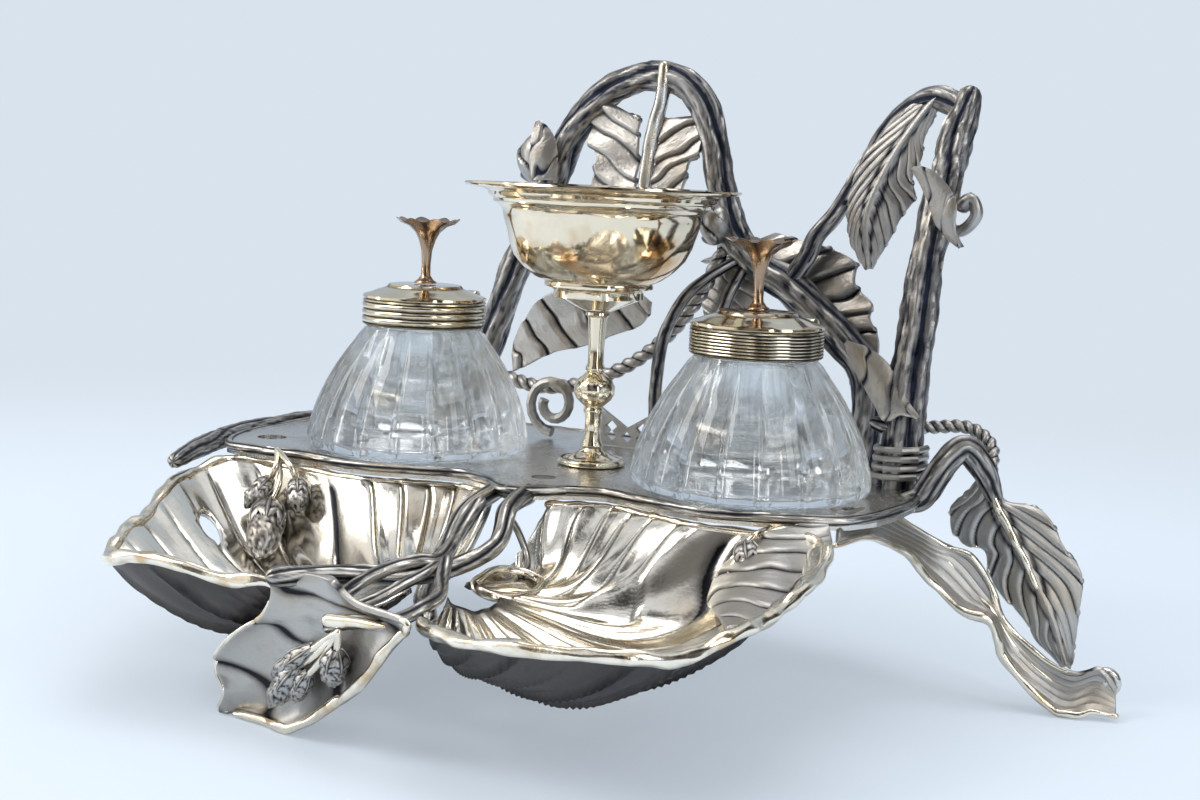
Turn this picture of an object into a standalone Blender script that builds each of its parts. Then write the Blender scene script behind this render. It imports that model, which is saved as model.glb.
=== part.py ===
"""Silver inkstand with two hinged glass inkwells, a stemmed cup and a branch rack.

Metres, +Z up. The origin is on the ground under the middle of the stand. The two wells
lie on a line along X, the leaf dishes reach towards -Y and the rack stands at +Y.
"""

import math

import bmesh
import bpy
from mathutils import Matrix, Vector

# Clearances
GAP = 0.0003
OVERRUN = 0.002
PIN_CLEARANCE = 0.00008

# Stand platform
WELL_LINE_Y = 0.0213
WELL_X = 0.0485
PLATE_TOP = 0.050
PLATE_THICK = 0.003
PLATE_REACH = 0.086
PLATE_DEPTH = 0.058
SEAT_DEPTH = 0.0012
SEAT_CLEARANCE = 0.0012
OUTLINE_STEPS = 2
PLATE_OUTLINE_SHARES = (
    (0.00, -0.62),
    (0.13, -0.47),
    (0.24, -0.40),
    (0.38, -0.46),
    (0.56, -0.53),
    (0.78, -0.45),
    (0.94, -0.30),
    (1.00, 0.02),
    (0.98, 0.50),
    (0.90, 0.84),
    (0.66, 1.02),
    (0.30, 1.06),
    (-0.10, 1.06),
    (-0.50, 1.07),
    (-0.86, 1.02),
    (-1.10, 0.74),
    (-1.18, 0.30),
    (-1.17, -0.15),
    (-1.08, -0.44),
    (-0.94, -0.48),
    (-0.78, -0.47),
    (-0.56, -0.53),
    (-0.38, -0.46),
    (-0.24, -0.40),
    (-0.13, -0.47),
)
PIERCE_R = 0.004
PIERCE_SHARES = (
    (-1.03, -0.20, 1.0),
    (-0.98, 0.08, 0.7),
    (-1.00, 0.36, 0.6),
    (0.00, -0.30, 0.8),
    (0.90, -0.12, 0.6),
    (0.92, 0.30, 0.7),
)

# Leaf dishes: each fans out from its stem end. Its back rim meets the platform's front edge at these
# shares of the platform's reach, and its free rim has an angle in degrees, a reach share and a height share
DISH_REACH = 0.086
DISH_FORK_X = 0.004
DISH_FORK_Y = 0.066
DISH_FORK_Z = 0.0315
DISH_TUCK = 0.0014
DISH_BELLY = 0.0165
DISH_BELLY_SKEW = 1.25
DISH_THICK = 0.0016
DISH_FOLD = 0.0010
DISH_START_SHARE = 0.13
DISH_RINGS = 5
RIGHT_BACK_SHARES = (0.0899, 0.1639, 0.247, 0.3222, 0.3987, 0.4728, 0.5542, 0.6898)
RIGHT_RIM_SHARES = (
    (28.0, 0.95, 0.98),
    (18.0, 0.97, 0.86),
    (7.0, 0.93, 0.60),
    (-4.0, 0.90, 0.40),
    (-16.0, 0.88, 0.22),
    (-28.0, 0.86, 0.16),
    (-42.0, 0.73, 0.14),
    (-58.0, 0.52, 0.06),
    (-70.0, 0.36, 0.00),
)
LEFT_BACK_SHARES = (0.0899, 0.1639, 0.247, 0.3222, 0.3988, 0.4734, 0.5742, 0.7954, 0.9995)
LEFT_RIM_SHARES = (
    (17.0, 1.08, 0.92),
    (7.0, 0.98, 0.72),
    (-4.0, 0.91, 0.44),
    (-13.0, 0.88, 0.26),
    (-23.0, 0.85, 0.18),
    (-38.0, 0.54, 0.14),
    (-54.0, 0.36, 0.08),
    (-70.0, 0.26, 0.00),
)

# Branches of the tray: points as shares of the reach, the depth and the platform height
TRAY_STEM_R = 0.0023
STEM_OVER_SHARES = (
    (-0.26, -1.66, 0.72),
    (-0.14, -1.45, 0.715),
    (0.01, -1.22, 0.71),
    (0.09, -0.94, 0.79),
    (0.06, -0.76, 0.930),
    (0.04, -0.54, 0.955),
)
STEM_UNDER_SHARES = (
    (0.15, -1.56, 0.61),
    (0.07, -1.38, 0.60),
    (-0.02, -1.18, 0.595),
    (-0.07, -0.95, 0.70),
    (-0.07, -0.78, 0.88),
    (-0.06, -0.56, 0.950),
)
BRANCH_R = 0.0034
RIGHT_BRANCH_SHARES = (
    (0.995, 0.40, 0.97, 0.9),
    (1.015, 0.42, 1.06, 1.0),
    (1.050, 0.46, 1.17, 1.0),
    (1.095, 0.50, 1.24, 1.1),
    (1.145, 0.53, 1.15, 1.0),
    (1.175, 0.56, 1.02, 0.8),
)
LEFT_BRANCH_SHARES = (
    (-0.98, 1.10, 0.97, 0.9),
    (-1.17, 0.78, 0.97, 1.0),
    (-1.225, 0.30, 0.97, 1.0),
    (-1.215, -0.16, 0.97, 0.9),
    (-1.145, -0.52, 0.965, 0.8),
    (-1.070, -0.82, 0.95, 0.6),
)

# Feet: leaf spines as shares of the depth and the platform height, with a width share. Along X the
# front leaf goes by the platform's reach, and the others from what carries them to the leg reach
LEG_REACH = 0.1335
RIGHT_FOOT_START_SHARE = 0.893
LEFT_FOOT_START_SHARE = 1.225
LEAF_THICK = 0.0016
LEAF_ACROSS = 3
FRONT_LEAF_HALF = 0.017
FRONT_LEAF_CUP = 0.30
FRONT_LEAF_SHARES = (
    (0.0931, -1.62, 0.60, 0.65),
    (-0.0621, -1.61, 0.47, 0.92),
    (-0.2173, -1.56, 0.29, 0.95),
    (-0.3493, -1.50, 0.13, 0.72),
    (-0.4269, -1.46, 0.00, 0.40),
)
LEG_LEAF_HALF = 0.015
RIGHT_LEAF_SHARES = (
    (-0.0491, 0.585, 1.10, 0.22),
    (0.0332, 0.60, 0.98, 0.65),
    (0.1566, 0.61, 0.80, 1.00),
    (0.3212, 0.61, 0.58, 0.95),
    (0.4652, 0.60, 0.40, 0.60),
    (0.5680, 0.60, 0.26, 0.15),
)
FOOT_LEAF_HALF = 0.0080
FOOT_LEAF_CUP = 0.35
RIGHT_FOOT_SHARES = (
    (-0.0006, 0.44, 0.91, 0.45),
    (0.2701, 0.45, 0.74, 0.95),
    (0.4820, 0.47, 0.48, 1.05),
    (0.6822, 0.53, 0.20, 0.95),
    (0.8234, 0.57, 0.06, 0.85),
    (1.0000, 0.60, 0.02, 0.50),
)
LEFT_FOOT_SHARES = (
    (-0.3279, 0.50, 0.83, 0.45),
    (0.0515, 0.53, 0.68, 1.50),
    (0.3835, 0.56, 0.42, 1.60),
    (0.6917, 0.58, 0.15, 1.10),
    (0.9218, 0.60, 0.02, 0.50),
)
KNOB_R = 0.0035

# Hazelnuts. On a dish each has an angle in degrees, a share of the way to the rim and a size share,
# and on the front leaf a share along the midrib, a share across and a size share
NUT_R = 0.0040
NUT_LONG_SHARE = 1.30
FRONT_NUT_SHARES = (
    (0.55, -0.60, 0.90),
    (0.68, -0.30, 1.00),
    (0.58, 0.02, 0.95),
    (0.36, 0.05, 0.75),
)
LEFT_NUT_SHARES = (
    (31.0, 0.86, 0.85),
    (34.0, 0.72, 0.85),
    (24.0, 0.72, 1.05),
)
RIGHT_NUT_SHARES = (
    (19.0, 0.84, 0.85),
    (10.0, 0.86, 0.95),
)

# Rack: points as shares of the half width, the setback and the rise above the platform
RACK_OVERHANG = 0.004
RACK_HALF = PLATE_REACH + RACK_OVERHANG
RACK_SETBACK = 0.056
RACK_RISE = 0.105
ARCH_R = 0.0043
ARCH_SHARES = (
    (-0.744, 0.893, -0.012, 1.20),
    (-0.720, 0.930, 0.095, 1.05),
    (-0.656, 1.000, 0.248, 1.00),
    (-0.589, 1.000, 0.429, 1.00),
    (-0.478, 1.000, 0.629, 1.00),
    (-0.400, 1.000, 0.819, 1.00),
    (-0.289, 1.000, 0.933, 1.00),
    (-0.200, 1.000, 0.981, 1.00),
    (-0.100, 1.000, 1.000, 1.00),
    (0.000, 1.000, 0.986, 1.00),
    (0.074, 1.000, 0.924, 1.00),
    (0.114, 1.000, 0.829, 0.95),
    (0.144, 1.000, 0.714, 0.95),
    (0.200, 1.000, 0.581, 1.00),
    (0.289, 1.000, 0.495, 1.05),
    (0.400, 1.000, 0.443, 1.10),
    (0.567, 1.000, 0.324, 1.10),
    (0.655, 1.000, 0.229, 1.05),
    (0.661, 0.980, 0.095, 1.00),
    (0.640, 0.930, -0.012, 1.10),
)
PEAK_SHARES = (
    (0.378, 1.00, 0.443, 0.62),
    (0.440, 1.02, 0.530, 0.60),
    (0.472, 1.02, 0.590, 0.60),
    (0.533, 1.02, 0.652, 0.60),
    (0.600, 1.02, 0.747, 0.62),
    (0.678, 1.00, 0.857, 0.66),
    (0.767, 0.97, 0.933, 0.72),
    (0.856, 0.93, 0.957, 0.80),
    (0.939, 0.89, 0.925, 0.80),
)
POST_SHARES = (
    (0.844, 0.589, -0.012, 1.20),
    (0.856, 0.607, 0.207, 1.10),
    (0.867, 0.661, 0.381, 1.05),
    (0.878, 0.732, 0.571, 1.00),
    (0.900, 0.804, 0.724, 1.00),
    (0.922, 0.857, 0.848, 0.95),
    (0.950, 0.893, 0.955, 0.75),
)
ROPE_STEM_SHARES = (
    (-0.700, 0.98, 0.165, 0.50),
    (-0.590, 0.94, 0.143, 0.50),
    (-0.444, 0.91, 0.124, 0.50),
    (-0.289, 0.89, 0.143, 0.50),
    (-0.111, 0.89, 0.210, 0.50),
    (0.022, 0.91, 0.305, 0.50),
    (0.111, 0.95, 0.419, 0.50),
    (0.178, 1.00, 0.560, 0.50),
)
REED_SHARES = (
    (0.022, 0.80, -0.012, 0.50),
    (0.010, 0.80, 0.140, 0.46),
    (0.030, 0.79, 0.290, 0.44),
    (0.090, 0.80, 0.400, 0.40),
    (0.160, 0.85, 0.465, 0.36),
    (0.245, 1.00, 0.525, 0.34),
)
CANE_SHARES = (
    (0.150, 0.83, -0.012, 0.50),
    (0.160, 0.83, 0.140, 0.46),
    (0.185, 0.84, 0.290, 0.44),
    (0.215, 0.89, 0.410, 0.40),
    (0.260, 1.00, 0.520, 0.36),
)
ROPE_LOOP_SHARES = (
    (0.860, 0.62, 0.138, 0.42),
    (0.920, 0.68, 0.142, 0.42),
    (1.010, 0.70, 0.150, 0.42),
    (1.070, 0.68, 0.135, 0.42),
    (1.105, 0.64, 0.105, 0.42),
    (1.115, 0.57, 0.060, 0.40),
)
TENDRIL_SHARES = (
    (0.895, 0.790, 0.640, 0.40),
    (0.960, 0.780, 0.625, 0.38),
    (1.005, 0.775, 0.665, 0.38),
    (0.990, 0.775, 0.705, 0.42),
    (0.967, 0.775, 0.690, 0.50),
)
STUB_SHARES = (
    (0.852, 0.605, 0.132, 0.50),
    (0.800, 0.600, 0.139, 0.50),
    (0.770, 0.600, 0.143, 0.42),
)
CENTRE_LEAF_HALF = 0.0155
CENTRE_LEAF_SHARES = (
    (-0.100, 1.00, 0.980, 0.14),
    (-0.105, 1.00, 0.935, 0.16),
    (-0.112, 0.99, 0.900, 0.75),
    (-0.120, 0.98, 0.840, 1.00),
    (-0.127, 0.98, 0.770, 0.92),
    (-0.133, 0.99, 0.715, 0.55),
    (-0.136, 1.00, 0.680, 0.12),
)
BIG_LEAF_HALF = 0.0185
BIG_LEAF_SHARES = (
    (0.140, 1.100, 0.540, 0.25),
    (0.240, 1.110, 0.470, 0.85),
    (0.360, 1.120, 0.420, 1.00),
    (0.490, 1.120, 0.370, 1.00),
    (0.600, 1.110, 0.330, 0.70),
    (0.700, 1.100, 0.290, 0.20),
)
HANGING_LEAF_HALF = 0.0105
HANGING_LEAF_SHARES = (
    (0.830, 0.94, 0.950, 0.16),
    (0.800, 0.93, 0.900, 0.70),
    (0.755, 0.92, 0.810, 1.00),
    (0.710, 0.92, 0.700, 1.00),
    (0.675, 0.93, 0.600, 0.60),
    (0.650, 0.94, 0.520, 0.12),
)
LOWER_LEAF_HALF = 0.0105
LOWER_LEAF_SHARES = (
    (-0.500, 0.92, 0.130, 0.16),
    (-0.480, 0.88, 0.200, 0.80),
    (-0.430, 0.86, 0.280, 1.00),
    (-0.350, 0.86, 0.350, 0.85),
    (-0.240, 0.87, 0.400, 0.15),
)
THORN_HALF = 0.0042
THORN_UPPER_SHARES = (
    (0.800, 0.72, 0.780, 0.12),
    (0.860, 0.705, 0.730, 0.90),
    (0.900, 0.690, 0.680, 1.00),
    (0.955, 0.690, 0.615, 0.12),
)
THORN_LOWER_SHARES = (
    (0.640, 0.770, 0.330, 0.12),
    (0.710, 0.690, 0.300, 0.90),
    (0.790, 0.560, 0.235, 1.00),
    (0.870, 0.500, 0.165, 0.30),
)
BUD_R = 0.0058
BUD_SHARES = {
    "arch_bud_left": (-0.520, 1.00, 0.760, 1.00),
    "arch_bud_right": (0.160, 0.90, 0.600, 0.75),
}
BINDING_TURNS = 4
BINDING_R = 0.0009
BINDING_PITCH = 0.00228
BINDING_POINTS = 10
SCROLL_X_SHARE = -0.330
SCROLL_Y_SHARE = 0.74
SCROLL_OUTER_R = 0.0082
SCROLL_INNER_R = 0.0030
SCROLL_TURNS = 1.3
SCROLL_TUBE_R = 0.0015
SCROLL_POINTS = 22
LATTICE_X_SHARE = -0.060
LATTICE_Y_SHARE = 0.73
LATTICE_WIDE = 0.024
LATTICE_HIGH = 0.0125
LATTICE_NOTCH_SHARE = 0.42
LATTICE_THICK = 0.0014
LATTICE_HOLE_HALF = 0.0018
LATTICE_COLUMNS = 5

# Inkwells
GLASS_R = 0.030
GLASS_HIGH = 0.0340
GLASS_SHARES = (
    (0.500, 1.00),
    (0.560, 0.940),
    (0.640, 0.850),
    (0.755, 0.705),
    (0.860, 0.530),
    (0.940, 0.355),
    (0.986, 0.205),
    (1.000, 0.130),
    (0.965, 0.066),
    (0.860, 0.047),
    (0.840, 0.000),
)
NECK_R = 0.0146
NECK_HIGH = 0.0068
NECK_WALL = 0.0022
GLASS_FLOOR = 0.0085
GLASS_LOBES = 18
LOBE_STEPS = 3
FLUTE_DEPTH = 0.0014
FLUTE_TOP_SHARE = 0.94
FLUTE_LOW_SHARE = 0.06
CAVITY_SHARES = (
    (0.93, 0.10),
    (1.26, 0.22),
    (1.38, 0.42),
    (1.32, 0.68),
    (1.16, 0.88),
)
CAVITY_BOTTOM_SHARE = 0.85
TURN_STEPS = 20
COLLAR_R = 0.0167
COLLAR_BEAD = 0.0005
LID_RISE = 0.0040
LID_TOP_R = 0.0101
LID_WALL = 0.0010
FINIAL_HIGH = 0.0172
FINIAL_STEM_R = 0.0014
FINIAL_TRUMPET_R = 0.0089
FINIAL_STEPS = 16
FINIAL_SHARES = (
    (1.00, 1.000),
    (0.965, 0.970),
    (0.60, 0.900),
    (0.36, 0.790),
    (0.22, 0.640),
)
KNUCKLE_R = 0.0020
KNUCKLE_LONG = 0.0030
KNUCKLE_SIDES = 16
LID_KNUCKLE_LONG = 0.0040
HINGE_PIN_R = 0.0008
HINGE_TAB_THICK = 0.0014
HINGE_TAB_ROOT = 0.0040
RIGHT_WELL_TURN = -12.0

# Cup
CUP_Y = 0.0085
CUP_FOOT_R = 0.0090
CUP_FOOT_HIGH = 0.0044
CUP_STEM_R = 0.0022
CUP_STEM_HIGH = 0.0350
CUP_KNOT_R = 0.0054
CUP_KNOT_HALF = 0.0040
CUP_KNOT_SHARE = 0.42
CUP_BOWL_R = 0.0250
CUP_BOWL_HIGH = 0.0330
CUP_RIM_R = 0.0362
CUP_WALL = 0.0010
CUP_BOWL_SHARES = (
    (1.16, 0.930),
    (1.13, 0.890),
    (1.05, 0.830),
    (1.04, 0.760),
    (1.00, 0.690),
    (0.99, 0.600),
    (0.93, 0.470),
    (0.82, 0.350),
    (0.66, 0.250),
    (0.56, 0.220),
    (0.56, 0.190),
    (0.47, 0.160),
    (0.47, 0.100),
    (0.28, 0.030),
    (0.16, 0.000),
)
STUD_R = 0.0018
STUD_DROP = 0.0095
STUD_HOLE_R = 0.0024
NUT_OUTER_R = 0.0055
NUT_THICK = 0.0030

FRONT = Vector((0.0, -1.0, 0.0))
FINISHES = {
    "tray": ((0.78, 0.78, 0.77, 1.0), 0.24, 1.0, 0.0),
    "rack": ((0.48, 0.48, 0.47, 1.0), 0.42, 1.0, 0.0),
    "polished": ((0.82, 0.76, 0.66, 1.0), 0.14, 1.0, 0.0),
    "glass": ((0.90, 0.95, 0.97, 1.0), 0.03, 0.0, 1.0),
}


def clear_scene():
    for obj in list(bpy.data.objects):
        bpy.data.objects.remove(obj, do_unlink=True)


def new_collection(name, hidden):
    collection = bpy.data.collections.new(name)
    bpy.context.scene.collection.children.link(collection)
    collection.hide_render = hidden
    return collection


clear_scene()
PARTS = new_collection("silver_inkstand", False)
CUTTERS = new_collection("cutters", True)


def empty(name, place, turn=0.0, parent=None):
    """A plain axes empty that carries other objects."""
    obj = bpy.data.objects.new(name, None)
    obj.location = place
    obj.rotation_euler = (0.0, 0.0, math.radians(turn))
    obj.parent = parent
    PARTS.objects.link(obj)
    return obj


STAND = empty("stand_frame", (0.0, WELL_LINE_Y, 0.0))


def give_material(obj, finish):
    colour, roughness, metallic, transmission = FINISHES[finish]
    material = bpy.data.materials.new(obj.name + "_finish")
    material.use_nodes = True
    shader = material.node_tree.nodes["Principled BSDF"]
    shader.inputs["Base Color"].default_value = colour
    shader.inputs["Roughness"].default_value = roughness
    shader.inputs["Metallic"].default_value = metallic
    shader.inputs["Transmission Weight"].default_value = transmission
    obj.data.materials.clear()
    obj.data.materials.append(material)


def make_cutter(obj):
    obj.hide_render = True
    obj.display_type = "WIRE"


def place(name, data, finish, parent=None):
    """An object in the scene: a part with its finish, or a cutter where finish is None."""
    obj = bpy.data.objects.new(name, data)
    obj.parent = parent or STAND
    if finish:
        PARTS.objects.link(obj)
        give_material(obj, finish)
    else:
        CUTTERS.objects.link(obj)
        make_cutter(obj)
    return obj


def smooth(mesh):
    mesh.shade_smooth()
    mesh.set_sharp_from_angle(angle=math.radians(40.0))


def mesh_from(name, build):
    """A mesh that build(bm) fills."""
    bm = bmesh.new()
    build(bm)
    mesh = bpy.data.meshes.new(name)
    bm.to_mesh(mesh)
    bm.free()
    smooth(mesh)
    return mesh


def boolean(obj, other, operation):
    modifier = obj.modifiers.new(operation.lower() + "_" + other.name, "BOOLEAN")
    modifier.operation = operation
    modifier.object = other


def cut(obj, *cutters):
    for cutter in cutters:
        boolean(obj, cutter, "DIFFERENCE")


def catmull(rows, steps, closed=False):
    """Points of a smooth curve through the rows, each row being x, y, z and any values beside them."""
    count = len(rows)
    last = count if closed else count - 1
    found = []
    for index in range(last):
        if closed:
            four = [rows[(index + k - 1) % count] for k in range(4)]
        else:
            four = [rows[min(max(index + k - 1, 0), count - 1)] for k in range(4)]
        for step in range(steps):
            t = step / steps
            found.append(tuple(spline_value(values, t) for values in zip(*four)))
    if not closed:
        found.append(tuple(rows[-1]))
    return found


def spline_value(four, t):
    a, b, c, d = four
    ease = c - a + t * (2.0 * a - 5.0 * b + 4.0 * c - d + t * (3.0 * (b - c) + d - a))
    return b + 0.5 * t * ease


def tray_point(x, y, z, reach=PLATE_REACH):
    return Vector((x * reach, y * PLATE_DEPTH, z * PLATE_TOP))


def rack_point(x, y, z):
    return Vector((x * RACK_HALF, y * RACK_SETBACK, PLATE_TOP + GAP + z * RACK_RISE))


def tray_rows(shares, radius, reach=PLATE_REACH):
    return [(*tray_point(x, y, z, reach), size * radius) for x, y, z, size in shares]


def leg_rows(shares, start, end):
    """Rows of a leg's leaf, whose x goes from what carries it to the leg's reach."""
    return [(start + (end - start) * x, y * PLATE_DEPTH, z * PLATE_TOP, size) for x, y, z, size in shares]


def rack_rows(shares, radius):
    return [(*rack_point(x, y, z), size * radius) for x, y, z, size in shares]


def curve_object(name, rows, parent=None):
    """A round tube along the rows of x, y, z and radius, as a curve with filled caps."""
    curve = bpy.data.curves.new(name, "CURVE")
    curve.dimensions = "3D"
    curve.bevel_depth = 1.0
    curve.bevel_resolution = 2
    curve.use_fill_caps = True
    curve.twist_mode = "MINIMUM"
    spline = curve.splines.new("POLY")
    spline.points.add(len(rows) - 1)
    for point, (x, y, z, radius) in zip(spline.points, rows):
        point.co = (x, y, z, 1.0)
        point.radius = radius
    obj = bpy.data.objects.new(name, curve)
    CUTTERS.objects.link(obj)
    return obj


def curve_to_mesh(obj, name):
    """The mesh of a curve object with its caps welded on. The curve is removed."""
    graph = bpy.context.evaluated_depsgraph_get()
    mesh = bpy.data.meshes.new_from_object(obj.evaluated_get(graph))
    mesh.name = name
    bm = bmesh.new()
    bm.from_mesh(mesh)
    bmesh.ops.remove_doubles(bm, verts=bm.verts, dist=1e-6)
    bmesh.ops.recalc_face_normals(bm, faces=bm.faces)
    bm.to_mesh(mesh)
    bm.free()
    mesh.materials.clear()
    bpy.data.objects.remove(obj, do_unlink=True)
    smooth(mesh)
    return mesh


def tube(name, rows, finish, steps=2):
    """A tube part along a smooth curve through the rows."""
    path = catmull(rows, steps)
    return place(name, curve_to_mesh(curve_object(name, path), name), finish)


def tube_cutter(name, rows, steps=2):
    """The same tube as a part's, wider all round by the gap."""
    wide = [(x, y, z, radius + GAP) for x, y, z, radius in catmull(rows, steps)]
    for end, beside in ((0, 1), (-1, -2)):
        tip = Vector(wide[end][:3])
        reach = (tip - Vector(wide[beside][:3])).normalized() * GAP
        wide[end] = (*(tip + reach), wide[end][3])
    return place(name, curve_to_mesh(curve_object(name, wide), name), None)


def flat_outline(name, points, thick, z_low):
    """A mesh of a flat outline in X and Y, thick upwards from z_low."""
    curve = bpy.data.curves.new(name, "CURVE")
    curve.dimensions = "2D"
    curve.fill_mode = "BOTH"
    curve.extrude = thick / 2.0
    spline = curve.splines.new("POLY")
    spline.points.add(len(points) - 1)
    for point, (x, y) in zip(spline.points, points):
        point.co = (x, y, 0.0, 1.0)
    spline.use_cyclic_u = True
    obj = bpy.data.objects.new(name, curve)
    CUTTERS.objects.link(obj)
    mesh = curve_to_mesh(obj, name)
    mesh.transform(Matrix.Translation((0.0, 0.0, z_low + thick / 2.0)))
    return mesh


def drum(name, radius, low, high, centre, steps=TURN_STEPS):
    """A plain upright cylinder cutter."""
    def build(bm):
        turn = Matrix.Translation((centre[0], centre[1], (low + high) / 2.0))
        bmesh.ops.create_cone(
            bm,
            cap_ends=True,
            segments=steps,
            radius1=radius,
            radius2=radius,
            depth=high - low,
            matrix=turn,
        )

    return place(name, mesh_from(name, build), None)


def screw(obj, steps):
    modifier = obj.modifiers.new("turn", "SCREW")
    modifier.axis = "Z"
    modifier.angle = math.tau
    modifier.steps = steps
    modifier.render_steps = steps
    modifier.use_merge_vertices = True
    modifier.merge_threshold = 0.00001
    modifier.use_smooth_shade = True
    return modifier


def turned(name, profile, finish, parent, steps=TURN_STEPS, closed=False):
    """A part turned about Z from radius and height pairs, listed down its outer side."""
    def build(bm):
        corners = [bm.verts.new((radius, 0.0, height)) for radius, height in profile]
        pairs = list(zip(corners, corners[1:]))
        if closed:
            pairs.append((corners[-1], corners[0]))
        for pair in pairs:
            bm.edges.new(pair)

    obj = place(name, mesh_from(name, build), finish, parent)
    screw(obj, steps)
    return obj


def leaf_points(rows, half, face, cup, across, sweep=0.0):
    """Rows of points across a leaf: the midrib's x, y, z and width share, spread to both sides."""
    lines = []
    for index, row in enumerate(rows):
        here = Vector(row[:3])
        before = Vector(rows[max(index - 1, 0)][:3])
        after = Vector(rows[min(index + 1, len(rows) - 1)][:3])
        side = (after - before).cross(face).normalized()
        width = row[3] * half
        line = []
        for step in range(-across, across + 1):
            share = step / across
            lift = face * (cup * width * share * share)
            along = (after - before).normalized() * (sweep * width * abs(share))
            line.append(here + side * (width * share) + lift + along)
        lines.append(line)
    return lines


def sheet(bm, lines):
    """Quads between neighbouring rows of points."""
    grid = [[bm.verts.new(point) for point in line] for line in lines]
    for near, far in zip(grid, grid[1:]):
        for index in range(len(near) - 1):
            bm.faces.new((near[index], near[index + 1], far[index + 1], far[index]))
    bmesh.ops.recalc_face_normals(bm, faces=bm.faces)


def shell(name, lines, thick, finish):
    obj = place(name, mesh_from(name, lambda bm: sheet(bm, lines)), finish)
    modifier = obj.modifiers.new("shell", "SOLIDIFY")
    modifier.thickness = thick
    modifier.offset = 0.0
    modifier.use_even_offset = True
    return obj


def leaf_form(name, rows, half, face, cup, steps=2, across=LEAF_ACROSS):
    """A cutter of a leaf's form, thicker by the gap on each side."""
    lines = leaf_points(catmull(rows, steps), half, face, cup, across)
    return shell(name, lines, LEAF_THICK + 2.0 * GAP, None)


def leaf(name, rows, half, finish, face=FRONT, cup=0.25, across=LEAF_ACROSS, steps=2, sweep=0.0):
    """A leaf shell along its midrib rows of x, y, z and width share."""
    lines = leaf_points(catmull(rows, steps), half, face, cup, across, sweep)
    return shell(name, lines, LEAF_THICK, finish)


def rack_leaf(name, shares, half, cup=0.25, sweep=0.0):
    return leaf(name, rack_rows(shares, 1.0), half, "rack", cup=cup, sweep=sweep)


def plate_outline(grow=0.0):
    """The platform's outline in X and Y, moved outwards by grow."""
    rows = [(x * PLATE_REACH, y * PLATE_DEPTH) for x, y in PLATE_OUTLINE_SHARES]
    points = catmull(rows, OUTLINE_STEPS, closed=True)
    moved = []
    for index, (x, y) in enumerate(points):
        before = points[index - 1]
        after = points[(index + 1) % len(points)]
        along = Vector((after[0] - before[0], after[1] - before[1])).normalized()
        moved.append((x + along.y * grow, y - along.x * grow))
    return moved


def well_frames():
    """The two empties on which the inkwells stand, each at its seat's centre."""
    seat = PLATE_TOP - SEAT_DEPTH + GAP
    left = empty("well_left_frame", (-WELL_X, 0.0, seat), 0.0, STAND)
    right = empty("well_right_frame", (WELL_X, 0.0, seat), RIGHT_WELL_TURN, STAND)
    return {"left": left, "right": right}


def platform():
    bottom = PLATE_TOP - PLATE_THICK
    mesh = flat_outline("platform", plate_outline(), PLATE_THICK, bottom)
    plate = place("platform", mesh, "tray")
    seat_r = GLASS_SHARES[-1][0] * GLASS_R + SEAT_CLEARANCE
    for side, x in (("left", -WELL_X), ("right", WELL_X)):
        low = PLATE_TOP - SEAT_DEPTH
        cut(plate, drum("seat_cutter_" + side, seat_r, low, PLATE_TOP + OVERRUN, (x, 0.0)))
    low = bottom - OVERRUN
    high = PLATE_TOP + OVERRUN
    cut(plate, drum("stud_cutter", STUD_HOLE_R, low, high, (0.0, CUP_Y)))
    for number, (x, y, size) in enumerate(PIERCE_SHARES):
        centre = (x * PLATE_REACH, y * PLATE_DEPTH)
        name = "pierce_cutter_" + str(number)
        cut(plate, drum(name, size * PIERCE_R, low, high, centre, KNUCKLE_SIDES))
    return plate


def plate_cutter():
    """The platform's outer form, grown by the gap, for what meets its edge."""
    low = PLATE_TOP - PLATE_THICK - GAP
    mesh = flat_outline("plate_form", plate_outline(GAP), PLATE_THICK + 2.0 * GAP, low)
    return place("plate_form", mesh, None)


def ground_cutter():
    """A block below the ground, which gives each foot its flat rest."""
    def build(bm):
        bmesh.ops.create_cube(bm, size=4.0 * LEG_REACH)
        bmesh.ops.translate(bm, verts=bm.verts, vec=(0.0, 0.0, -2.0 * LEG_REACH))

    return place("ground_block", mesh_from("ground_block", build), None)


def edge_row(side, share):
    """The row of a dish's back rim that meets the platform's front edge at a share of its reach."""
    x = share * PLATE_REACH
    outline = plate_outline()
    crossings = []
    for index, (far_x, far_y) in enumerate(outline):
        near_x, near_y = outline[index - 1]
        low, high = sorted((near_x, far_x))
        if low <= side * x <= high and low < high:
            crossings.append(near_y + (far_y - near_y) * (side * x - near_x) / (far_x - near_x))
    way = Vector((x - DISH_FORK_X, min(crossings) + DISH_FORK_Y))
    return math.degrees(math.atan2(way.y, way.x)), (way.length + DISH_TUCK) / DISH_REACH, 1.0


def dish_rim(side, back_shares, free_rim):
    """Rows of angle, reach share and height share all round a dish, from back to front."""
    return [edge_row(side, share) for share in back_shares] + list(free_rim)


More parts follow.
